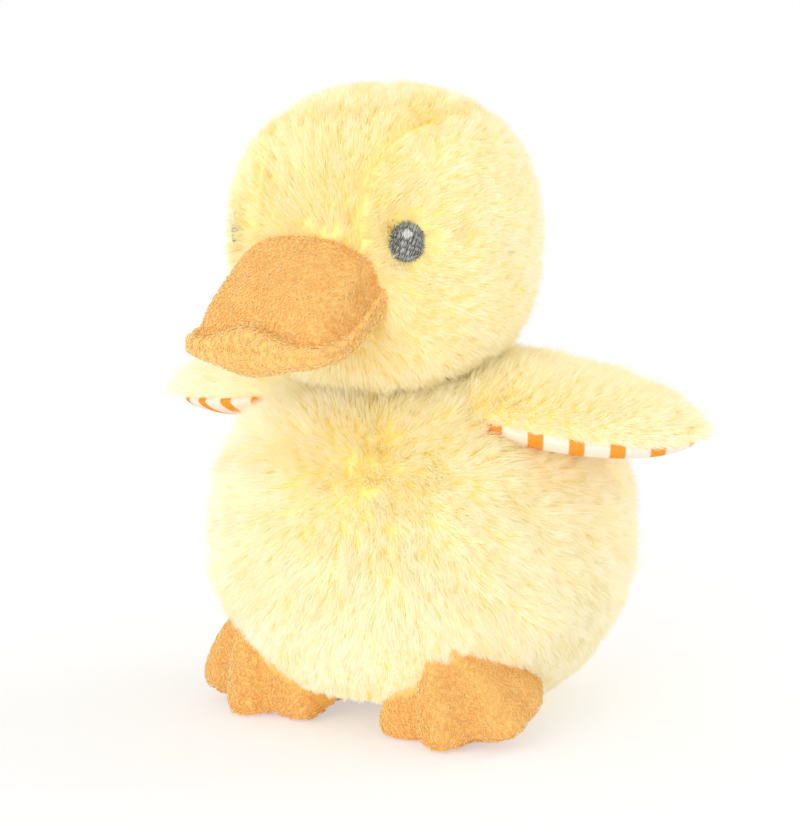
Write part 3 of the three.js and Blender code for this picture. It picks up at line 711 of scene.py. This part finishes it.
def stuffed(outline, rows, height, seam=None, middle=None):
    """One panel of a pillow. Rows run from its rim to its middle, closer at the rim. Height gives how
    far it stands over the seam's plane at each point and share of the way to the rim, and seam how far
    the seam itself does. Close to the seam, the panel is drawn in towards its middle."""
    share = (1 - (1 - np.linspace(1, 0, rows)) ** 1.7)[:, None]
    middle = outline[:-1].mean(0) if middle is None else middle
    flat = middle + share[..., None] * (outline - middle)
    level = np.broadcast_to(height(flat, share), flat.shape[:2])
    over = level if seam is None else level - seam(flat)
    drawn = seam_draw * np.exp(-(over / seam_reach) ** 2) * share ** 20
    return np.concatenate((middle + (flat - middle) * (1 - drawn)[..., None], level[..., None]), -1)


def surface_roots(points, gap, rng, flip=False):
    """Points spread over a panel's grid in proportion to its area, and the outward normals there."""
    one, two = points[1:, :-1] - points[:-1, :-1], points[:-1, 1:] - points[:-1, :-1]
    crossed = np.cross(two, one)
    area = np.linalg.norm(crossed, axis=-1).ravel()
    count = int(area.sum() / gap ** 2)
    chosen = np.searchsorted(np.cumsum(area), (np.arange(count) + 0.5) * area.sum() / count)
    chosen = np.minimum(chosen, len(area) - 1)
    rows, columns = np.divmod(chosen, points.shape[1] - 1)
    down, right = rng.uniform(0, 1, (2, count, 1))
    near = points[rows, columns] * (1 - right) + points[rows, columns + 1] * right
    far = points[rows + 1, columns] * (1 - right) + points[rows + 1, columns + 1] * right
    normals = unit(crossed.reshape(-1, 3)[chosen]) * (-1 if flip else 1)
    return near * (1 - down) + far * down, normals


def tube_shape(lines, normals, width, tone):
    """Threads along lines of points: three corners round each point, pointed at both ends."""
    count, steps = lines.shape[:2]
    way = unit(np.gradient(lines, axis=1))
    side = unit(np.cross(way, normals[:, None]))
    up = np.cross(side, way)
    thick = width / 2 * np.sin(np.linspace(0.12, math.pi - 0.12, steps))[:, None] ** 0.5
    turns = np.arange(3) * 2 * math.pi / 3 + math.pi / 2
    points = np.stack([lines + thick * (math.cos(turn) * side + math.sin(turn) * up) for turn in turns], 2)
    first = 3 * steps * np.arange(count)[:, None]
    ring = [(near, (near + 1) % 3) for near in range(3)]
    walls = [(3 * step + a, 3 * step + b, 3 * step + 3 + b, 3 * step + 3 + a)
             for step in range(steps - 1) for a, b in ring]
    across_map = np.clip(tone, 0.02, 0.97)[:, None] + np.tile((-map_step, 0, map_step), steps)
    along_map = np.broadcast_to(np.repeat(np.linspace(0.05, 0.98, steps), 3), (count, 3 * steps))
    return {
        "points": points.reshape(-1, 3),
        "map": np.stack((across_map, along_map), -1).reshape(-1, 2),
        "faces": np.concatenate([first + wall for wall in walls])[:, ::-1],
        "smooth": True,
    }


def fleece_shape(rng, roots, normals, deeper=0.0):
    """Brushed curls: arcs that lie on the cloth, each turned its own way and raised in its middle."""
    count = len(roots)
    side = unit(np.cross(normals, rng.normal(0, 1, (count, 3))))[:, None]
    other = np.cross(normals[:, None], side)
    angle = np.linspace(-0.5, 0.5, 5) * curl_turn * rng.uniform(0.5, 1.1, (count, 1))
    radius = curl_radius * rng.uniform(0.7, 1.35, (count, 1))
    rise = 0.00012 + 0.00042 * np.cos(np.linspace(-1.3, 1.3, 5)) * rng.uniform(0.5, 1.3, (count, 1))
    lines = roots[:, None] + (radius * np.cos(angle) - radius)[..., None] * side
    lines = lines + (radius * np.sin(angle))[..., None] * other + rise[..., None] * normals[:, None]
    tone = 0.55 - deeper + 0.14 * ripple(roots, 0.008, rng) + rng.normal(0, 0.17, count)
    return tube_shape(lines, normals, curl_width, tone)


def on_head(points):
    """From the bill's own frame, its seam level and its tip at -Y, to its place under the eyes."""
    y, z = points[..., 1] + head_half[1], points[..., 2]
    return np.stack((
        points[..., 0],
        y * math.cos(bill_sag) - z * math.sin(bill_sag) - head_half[1] + head_middle[1],
        y * math.sin(bill_sag) + z * math.cos(bill_sag) + head_middle[2] - bill_drop,
    ), -1)


bill_tip = -head_half[1] - bill_length
bill_corner = bill_tip + bill_lip_depth + bill_lip_height
half_ring = [
    (0, bill_tip),
    *((across * bill_lip_half, bill_tip + back * bill_lip_depth) for across, back in bill_front_shares),
    (bill_lip_half, bill_corner),
    *((across * bill_half, bill_corner + back * (-head_half[1] - bill_corner))
      for across, back in bill_side_shares),
    (0, -head_half[1] + bill_length / 2),
]
ring = half_ring + [(-x, y) for x, y in half_ring[-2:0:-1]]
bill_outline = curve_through(ring[-1:] + ring + ring[:2], np.linspace(1, len(ring) + 1, bill_steps + 1))
bill_middle = np.array((0, -head_half[1] - 0.010))
bill_away = bill_outline[:-1] - bill_middle
bill_reach = np.arctan2(bill_away[:, 1], bill_away[:, 0]), np.linalg.norm(bill_away, axis=1)


def bill_ways(flat):
    """How far forward a place lies, from 0 to 1, how far back, from 0 to 1.3, and how near the middle
    plane, from 0 to 1."""
    front = np.clip((lip_start - flat[..., 1]) / lip_span, 0, 1)
    back = np.clip((flat[..., 1] - cheek_start) / cheek_span, 0, 1.3)
    return front ** 2 * (3 - 2 * front), back, np.exp(-(flat[..., 0] / lip_middle) ** 2)


def bill_seam(flat):
    """The seam's height: a little up at the middle of the lip, and far up at the cheeks."""
    front, back, middle = bill_ways(flat)
    return seam_lip_rise * middle * front + seam_cheek_rise * back ** 2.5


def bill_roll(flat):
    """Half the rim's thickness, rounded off to nothing at the seam, and the place across it to the fold."""
    front, back, middle = bill_ways(flat)
    width = roll_width + (roll_width_back - roll_width) * np.clip(back * 1.4, 0, 1)
    away = flat - bill_middle
    rim_reach = np.interp(np.arctan2(away[..., 1], away[..., 0]), *bill_reach, period=2 * math.pi)
    inward = np.maximum(rim_reach - np.linalg.norm(away, axis=-1), 0) / width
    thick = roll_half + roll_half_lip * middle * front + roll_half_cheek * np.clip(back, 0, 1)
    return thick * (1 - (1 - np.clip(inward, 0, 1)) ** roll_fullness) ** (1 / roll_fullness), inward


def bill_top(flat, share):
    """The roll, the fold inside it, and a dome that falls from the head to the fold and to both sides."""
    roll, inward = bill_roll(flat)
    base = bill_seam(flat) + roll
    along = np.clip((-head_half[1] - flat[..., 1]) / (bill_length - dome_end), 0, 1)
    across = np.clip(np.abs(flat[..., 0]) / (bill_half + 0.0004), 0, 1)
    crest = bill_seam(flat * (0, 1)) + roll_half + roll_half_lip * bill_ways(flat)[0]
    fall = (1 - along ** 1.3) ** 0.95
    dome = np.maximum(bill_lip_height + (bill_dome - bill_lip_height) * fall - crest, 0)
    fold = fold_depth * np.exp(-((inward - fold_place) / 0.35) ** 2)
    return base - fold + dome * (1 - across ** 2.6) ** 0.45 * np.clip(inward - 0.8, 0, 1) ** 0.7


def bill_under(flat, share):
    """The roll, and a bag that hangs from the seam, deepest at its middle."""
    roll = bill_roll(flat)[0]
    return bill_seam(flat) * share ** 2 - roll - under_depth * (1 - share ** 2)


fleece = strand_finish(
    "orange_fleece", (245, 188, 102), (254, 222, 154), (250, 210, 130), (254, 232, 170), (249, 203, 122))
bill_skins = []
for name, height, flip in (("upper_bill", bill_top, False), ("lower_bill", bill_under, True)):
    local = stuffed(bill_outline, 70, height, bill_seam, bill_middle)
    points = on_head(local)
    roots, normals = surface_roots(local, curl_gap, rng, flip)
    clear = ~in_head(on_head(roots), sewn_depth)
    roots, normals = roots[clear], normals[clear]
    inward = bill_roll(roots[:, :2])[1]
    at_fold = np.exp(-((inward - fold_place) / 0.4) ** 2) * (not flip)
    # Painted shade: the curls are deeper in the fold and where the bill meets the head.
    deeper = 0.4 * np.maximum(at_fold, in_head(on_head(roots), -0.0014))
    deeper = deeper - 0.2 * (inward < 0.9) - 0.15 * flip  # the rim and the lower panel are paler
    curls = fleece_shape(rng, on_head(roots), normals, deeper)
    skin = without(grid_shape(points, flip), in_head, sheet_depth)
    make_piece(f"{name}_fleece", [skin, curls], fleece, "head", f"{name}_panel")
    core = (*bill_middle, 0)
    bill_skins.append(grid_shape(on_head(core + bill_filled * (local - core)), flip))

# Eyes: flat ovals of grey satin stitch, with a rim of short stitches and a white one for the light.

eye_base = 0.0001  # height of the ground stitches' edge over the backing
eye_thick = 0.0006
thread_radius = 0.00017
thread_rows = 32
thread_lean = math.radians(24)  # of the rows, from upright
thread_stray = 0.00006  # of a stitch beside its row
thread_steps = 6  # points along a stitch
stitches_in_row = 6
stitch_swell = 0.0003  # of its middle over its ends
edge_drop = 0.0006  # of the rows towards the eye's edge
rim_stitches = 70
light_half = 0.0015  # half the height of the white spot
light_half_width = 0.00118
light_up = 0.0023  # from the eye's middle
light_shares = (0.42, 0.78, 1.0, 1.05, 1.0, 0.78, 0.42)  # of that height, from row to row


def on_eye(across, up, rise):
    """A place on the left eye from its middle, in its own two directions, this far above the plush."""
    flat = eye_middle + across[..., None] * eye_across + up[..., None] * eye_up
    way = flat - head_middle
    onto = way / round_level(way, 0, head_half, head_fullness)[..., None]
    return head_middle + onto + rise[..., None] * eye_way


def thread_shape(lines, tone):
    """Threads along lines of points: four corners round each point, and a point at both ends."""
    count, steps = lines.shape[:2]
    way = unit(np.gradient(lines, axis=1))
    side = unit(np.cross(way, eye_way))
    up = np.cross(side, way)
    thick = thread_radius * np.sin(np.linspace(0.18, math.pi - 0.18, steps))[:, None] ** 0.4
    corners = [lines + thick * (math.cos(turn) * side + math.sin(turn) * up)
               for turn in np.arange(4) * math.pi / 2 + math.pi / 4]
    start, end = [lines[:, [at]] + sign * 0.3 * thread_radius * way[:, [at]]
                  for at, sign in ((0, -1), (-1, 1))]
    points = np.concatenate((start, np.stack(corners, 2).reshape(count, -1, 3), end), 1)
    last = 4 * steps + 1
    ring = [(corner, (corner + 1) % 4) for corner in range(4)]
    walls = [(1 + 4 * step + b, 1 + 4 * step + a, 5 + 4 * step + a, 5 + 4 * step + b)
             for step in range(steps - 1) for a, b in ring]
    tips = [(0, 1 + a, 1 + b) for a, b in ring] + [(last, last - 4 + b, last - 4 + a) for a, b in ring]
    first = (last + 1) * np.arange(count)[:, None]
    quads = np.concatenate([first + wall for wall in walls])
    triangles = np.concatenate([first + tip for tip in tips])
    tone_map = np.broadcast_to(np.clip(tone, 0.02, 0.97)[:, None], (count, last + 1))
    along_map = np.broadcast_to(np.linspace(0.05, 0.98, last + 1), (count, last + 1))
    flat = np.stack((tone_map + 0.01 * (np.arange(last + 1) % 2), along_map), -1).reshape(-1, 2)
    whole = {"points": points.reshape(-1, 3), "map": flat, "faces": quads, "smooth": True}
    no_points = {"points": np.zeros((0, 3)), "map": np.zeros((0, 2))}  # the ends are on those of the whole
    return [whole, {**whole, **no_points, "faces": triangles - len(whole["points"])}]


def satin(rng, width, height, rows, stitches, rise, ragged):
    """Rows of stitches over an oval, each row cut at places of its own, so that they lock together. The
    rows' ends stand out over its edge, by up to this ragged share."""
    place = (np.arange(rows) + 0.5) / rows * 2 - 1
    reach = height / 2 * np.sqrt(1 - place ** 2)
    cuts = np.linspace(-1, 1, stitches + 1) + rng.uniform(-0.5, 0.5, (rows, stitches + 1)) / stitches
    cuts[:, 0] = -1 - ragged * rng.uniform(0, 1, rows)
    cuts[:, -1] = 1 + ragged * rng.uniform(0, 1, rows)
    share = np.linspace(0, 1, thread_steps)
    along = (cuts[:, :-1, None] + (cuts[:, 1:] - cuts[:, :-1])[..., None] * share) * reach[:, None, None]
    beside = np.broadcast_to((place * width / 2)[:, None, None], along.shape)
    beside = beside + rng.normal(0, thread_stray, (rows, stitches, 1))
    across = beside * math.cos(thread_lean) + along * math.sin(thread_lean)
    up = along * math.cos(thread_lean) - beside * math.sin(thread_lean)
    level = np.hypot(across / (width / 2), up / (height / 2))
    lift = rise + stitch_swell * np.sin(math.pi * share) ** 0.5 - edge_drop * np.clip(level, 0, 1.1) ** 6
    return on_eye(across, up, lift).reshape(-1, thread_steps, 3)


ground_share = np.linspace(1, 0, 8)[:, None]
ground_way = np.linspace(0, 2 * math.pi, 41)
ground_points = on_eye(
    ground_share * eye_width / 2 * np.cos(ground_way),
    ground_share * eye_height / 2 * np.sin(ground_way),
    eye_thick - 0.0001 - (eye_thick - eye_base) * ground_share ** 8 * np.ones_like(ground_way),
)
grey = strand_finish(
    "grey_thread", (80, 79, 75), (190, 190, 184), (114, 114, 110), (218, 219, 213), (84, 83, 79))
white_thread = strand_finish(
    "white_thread", (236, 234, 224), (248, 247, 240), (250, 249, 242), (255, 254, 249), (236, 234, 224))
ground = grid_shape(ground_points)
rows = satin(rng, eye_width, eye_height, thread_rows, stitches_in_row, eye_thick, 0.05)
spin = rng.uniform(0, 2 * math.pi, rim_stitches)
inner, outer = 0.9 + rng.uniform(-0.06, 0.03, (2, rim_stitches)) + ((0,), (0.2,))
spokes = inner[:, None] + (outer - inner)[:, None] * np.linspace(0, 1, thread_steps)
rim = on_eye(
    spokes * (eye_width / 2 * np.cos(spin))[:, None],
    spokes * (eye_height / 2 * np.sin(spin))[:, None],
    eye_thick + 0.0002 - 0.0004 * (spokes - 0.85) / 0.2,
)
shapes = [ground, *thread_shape(rows, 0.5 + rng.normal(0, 0.24, len(rows))),
          *thread_shape(rim, 0.35 + rng.normal(0, 0.2, len(rim)))]
light_along = light_half * np.array(light_shares)[:, None] * np.linspace(-1, 1, thread_steps)
light_place = np.linspace(-1, 1, len(light_shares))[:, None] * light_half_width
light = on_eye(
    np.broadcast_to(light_place, light_along.shape),
    light_up + light_along,
    np.broadcast_to(eye_thick + 0.0006 - 0.0005 * np.linspace(-1, 1, thread_steps) ** 4, light_along.shape),
)
light_shapes = thread_shape(light, 0.6 + rng.normal(0, 0.15, len(light)))
make_pairs(None, ("eye_stitches", shapes, grey, "eye", "grey_thread", None),
           ("eye_light", light_shapes, white_thread, "eye_highlight", "white_thread", None))

# Wings: a plush top and a lining of striped cotton, sewn together, turned, lightly wadded, and sewn
# to the body's sides. The pile of the top stands out over the seam.

wing_reach = 0.050
wing_root = 0.042
wing_chord = 0.056
wing_sweep = 0.004
wing_fullness = 2.2
wing_top_bulge = 0.0125
wing_lining_bulge = 0.0085
wing_droop = math.radians(7)
wing_backing = 0.0008  # of the backing below the dense pile
wing_pile = 0.0060
wing_pile_laid = math.radians(50)
shoulder = np.array((0.03846, 0, 0.09376))
stripe_gap = 0.0116  # from one stripe to the next
stripe_width = 0.0044
stripe_slant = math.radians(32)
stripe_start = 0.0093
stripe_blur = 0.025  # of its edges, as a share of the gap
yarn_gap = 0.00062
lining_depth = 0.002  # inside the body, where the lining ends
wing_fill = 0.7


def on_shoulder(points):
    """From the left wing's own frame, along +X from its hinge, to its place, with a little droop."""
    x, z = points[..., 0], points[..., 2]
    return shoulder + np.stack((
        x * math.cos(wing_droop) + z * math.sin(wing_droop),
        points[..., 1],
        z * math.cos(wing_droop) - x * math.sin(wing_droop),
    ), -1)


turn = np.linspace(0, 2 * math.pi, 181)
way = np.stack((np.cos(turn), np.sin(turn), np.zeros_like(turn)), 1)
reach = 1 / round_level(way, 0, np.array(((wing_reach + wing_root) / 2, wing_chord / 2, 1)), wing_fullness)
wing_x = (wing_reach - wing_root) / 2 + reach * way[:, 0]
wing_outline = np.stack((wing_x, reach * way[:, 1] + wing_sweep * (wing_x / wing_reach) ** 2), 1)

skin_points = stuffed(wing_outline, 30, lambda flat, share: swell(wing_top_bulge - wing_backing, share))
roots, normals = surface_roots(skin_points, tuft_gap, rng)
clear = ~in_body(on_shoulder(roots), sewn_depth)
roots, normals = roots[clear], normals[clear]
ruffle = 0.25 * ripple(roots, 0.018, rng)[:, None] * (0, 1, 0)
lay = np.array((0.8, 0.1, 0)) + 0.5 * normals * (1, 1, 0) + ruffle
lean = wing_pile_laid + rng.normal(0, tuft_lean_spread, len(roots))
length = tuft_length(rng, roots, wing_pile, 0.08)
tone = tuft_tone(rng, roots, 0.88, 0.06)
pile = pile_shape(rng, roots, normals, lay, lean, length, tone)
pile["points"] = on_shoulder(pile["points"])
skin = without(grid_shape(on_shoulder(skin_points)), in_body, sheet_depth)

cotton = material("striped_cotton")
x, y = [cotton.node("ShaderNodeSeparateXYZ", None, {0: cotton.place()}, out=number) for number in (0, 1)]
along = x.math("ABSOLUTE") * math.cos(stripe_slant) + y * math.sin(stripe_slant)
across = y * math.cos(stripe_slant) - x.math("ABSOLUTE") * math.sin(stripe_slant)
wave = ((along - stripe_start) / stripe_gap + 0.5).math("FRACT") - 0.5
half_share = stripe_width / stripe_gap / 2
stripe = cotton.steps(wave.math("ABSOLUTE"), half_share + stripe_blur, half_share - stripe_blur)
turns_of_yarn = 2 * math.pi / yarn_gap
yarn = (along * turns_of_yarn).math("SINE") * (across * turns_of_yarn).math("SINE") * 0.5 + 0.5
slub = cotton.noise(0.0012)
white_yarn = cotton.mix(slub, dye(253, 238, 222), dye(255, 246, 236))
orange_yarn = cotton.mix(yarn * 0.7 + slub * 0.3, dye(243, 146, 40), dye(253, 178, 78))
cotton_cloth = cotton.cloth(cotton.mix(stripe, white_yarn, orange_yarn), yarn, 0.00012)
lining_points = stuffed(wing_outline, 40, lambda flat, share: -swell(wing_lining_bulge, share))
lining = without(grid_shape(on_shoulder(lining_points), True), in_body, lining_depth)
del lining["map"]
make_pairs("wing", ("wing_plush", [skin, pile], plush, "wing_top", "yellow_plush", wing_fill),
           ("wing_stripes", [lining], cotton_cloth, "wing_lining", "striped_lining", wing_fill))

# Feet: a top with three toes and a sole, both of orange fleece, sewn, turned, stuffed, and sewn
# under the belly with the toes a little up.

ankle_place = (0.0306, -0.0192)
foot_reach = 0.0290
foot_middle_extra = 0.002
foot_notch = 0.0034
heel_reach = 0.015
toe_bulge = 0.0105
instep_rise = 0.022
sole_bulge = 0.0035
toe_spread = math.radians(43.5)
toe_groove = 0.1
toe_out = math.radians(9)
foot_tilt = math.radians(18)
foot_tilt_turn = math.radians(12)
foot_filled = 0.93  # share of the foot that its filling takes up
foot_depth = 0.005  # inside the body, where the foot's skins end
foot_curl_height = 0.0015  # above the floor, where the curls end
foot_tone = 0.95  # of its fleece, beside the bill's


def turn_matrix(axis, angle):
    """Turns row vectors about an axis by an angle."""
    x, y, z = axis
    cross = np.array(((0, -z, y), (z, 0, -x), (-y, x, 0)))
    return (np.eye(3) + math.sin(angle) * cross + (1 - math.cos(angle)) * cross @ cross).T


tilt_axis = (math.cos(foot_tilt_turn), -math.sin(foot_tilt_turn), 0)
stance = turn_matrix((0, 0, 1), toe_out) @ turn_matrix(tilt_axis, foot_tilt)


def foot_edge(turn):
    """The seam's place at a turn about the ankle: three toes with webs between, and a round heel."""
    toe = (1 + np.cos(turn * 2 * math.pi / toe_spread)) / 2
    web = foot_reach - foot_notch
    toe_edge = web + foot_notch * toe + foot_middle_extra * toe * np.cos(turn)
    heel = np.sin(math.pi * np.clip((turn / toe_spread - 1.5) / 5, 0, 1))
    reach = np.where(turn < 1.5 * toe_spread, toe_edge, web + (heel_reach - web) * heel)
    return np.stack((reach * np.sin(turn), -reach * np.cos(turn)), 1)


foot_outline = foot_edge(np.linspace(-1.5, 6.5, 241) * toe_spread)
foot_corners = np.concatenate((np.linspace(-1.5, 1.5, 27, False), np.linspace(1.5, 6.5, 6, False)))
foot_middle = foot_edge(foot_corners * toe_spread).mean(0)  # ahead of the ankle, under the highest point


def foot_top(flat, share):
    """Plump over the toes, with shallow grooves between them, and rising to the instep."""
    turn = np.arctan2(flat[..., 0], -flat[..., 1])
    between = (1 - np.cos(turn * 2 * math.pi / toe_spread)) / 2
    groove = np.where(flat[..., 1] < 0, toe_groove * between * share ** 3, 0)
    return swell(toe_bulge, share) * (1 - groove) + instep_rise * (1 - share)


def foot_sole(flat, share):
    """A shallow dome that hangs from the seam."""
    return -swell(sole_bulge, share)


foot_lowest = (stuffed(foot_outline, 50, foot_sole, middle=foot_middle) @ stance)[..., 2].min()
foot_core = np.array((*foot_middle, 0.25 * instep_rise))
foot_skins = []
ankle = np.array((*ankle_place, floor_gap - foot_lowest))
for name, height, flip in (("foot_top", foot_top, False), ("foot_sole", foot_sole, True)):
    local = stuffed(foot_outline, 50, height, middle=foot_middle)
    points = ankle + local @ stance
    foot_skins.append(grid_shape(ankle + (foot_core + foot_filled * (local - foot_core)) @ stance, flip))
    roots, normals = surface_roots(points, curl_gap, rng, flip)
    clear = ~in_body(roots) & (roots[:, 2] > foot_curl_height)
    curls = fleece_shape(rng, roots[clear], normals[clear])
    curls["map"] = curls["map"] * (foot_tone, 1)
    skin = without(grid_shape(points, flip), in_body, foot_depth)
    make_pairs("foot", (f"{name}_fleece", [skin, curls], fleece, name, "orange_fleece", firm_fill))

# Tail: a small pocket of the same plush, stuffed and sewn to the back.

tail_hinge = np.array((0, 0.061236, 0.0584))
tail_half = np.array((0.013, 0.030, 0.0075))
tail_sink = 0.012
tail_turn = turn_matrix((1, 0, 0), math.radians(38))
tail_pile = 0.0060
tail_pile_laid = math.radians(48)
tail_backing = tail_half - 0.001

roots, normals = round_roots((0, -tail_sink, 0), tail_backing, 2, rng)
roots, normals = tail_hinge + roots @ tail_turn, normals @ tail_turn
clear = ~in_body(roots, sewn_depth)
roots, normals = roots[clear], normals[clear]
lay = np.array((0, 1.0, 0)) @ tail_turn + 0.3 * normals
lean = tail_pile_laid + rng.normal(0, tuft_lean_spread, len(roots))
length = tail_pile * rng.uniform(0.85, 1.1, len(roots))
tone = 0.7 + rng.normal(0, tuft_tone_spread, len(roots))
pile = pile_shape(rng, roots, normals, lay, lean, length, tone)
rise, spin = np.meshgrid(np.linspace(0.01, math.pi - 0.01, 24), np.linspace(0, 2 * math.pi, 40), indexing="ij")
way = np.stack((np.sin(rise) * np.cos(spin), -np.cos(rise), np.sin(rise) * np.sin(spin)), -1)
skin_points = tail_hinge + (way * tail_backing - (0, tail_sink, 0)) @ tail_turn
skin = without(grid_shape(skin_points, True), in_body, sheet_depth)
make_piece("tail_plush", [skin, pile], plush, "tail", "tail_cover")

# Inside: white polyester fibre in every part, and a cloth pouch of pellets that makes the duck sit.
# The bill's and the feet's fibre fits their skins; the rest are the CAD's own pieces, with a finish.

fibre = material("white_fibre")
fluff = fibre.noise(0.003, 4)
fibre_finish = fibre.cloth(fibre.mix(fluff, dye(232, 232, 228), dye(250, 250, 247)), fluff, 0.002)
calico = material("pouch_cloth")
weave = calico.noise(0.0006)
calico_finish = calico.cloth(calico.mix(weave, dye(226, 218, 200), dye(242, 236, 222)), weave, 0.0003)
for skin in bill_skins + foot_skins:
    del skin["map"]
bill_fibre = [without(skin, in_head, sheet_depth) for skin in bill_skins]
make_piece("bill_fibre", bill_fibre, fibre_finish, "head", "bill_stuffing")
foot_fibre = [without(skin, in_body, foot_depth) for skin in foot_skins]
make_pairs("foot", ("foot_fibre", foot_fibre, fibre_finish, "foot_stuffing", "white_fibre", None))
for name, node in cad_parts.items():
    own_fibre = name.startswith(("bill", "left_foot", "right_foot"))
    if name.endswith(("stuffing", "wadding", "pouch")) and not own_fibre:
        node.data.materials.clear()
        node.data.materials.append(calico_finish if name == "pellet_pouch" else fibre_finish)
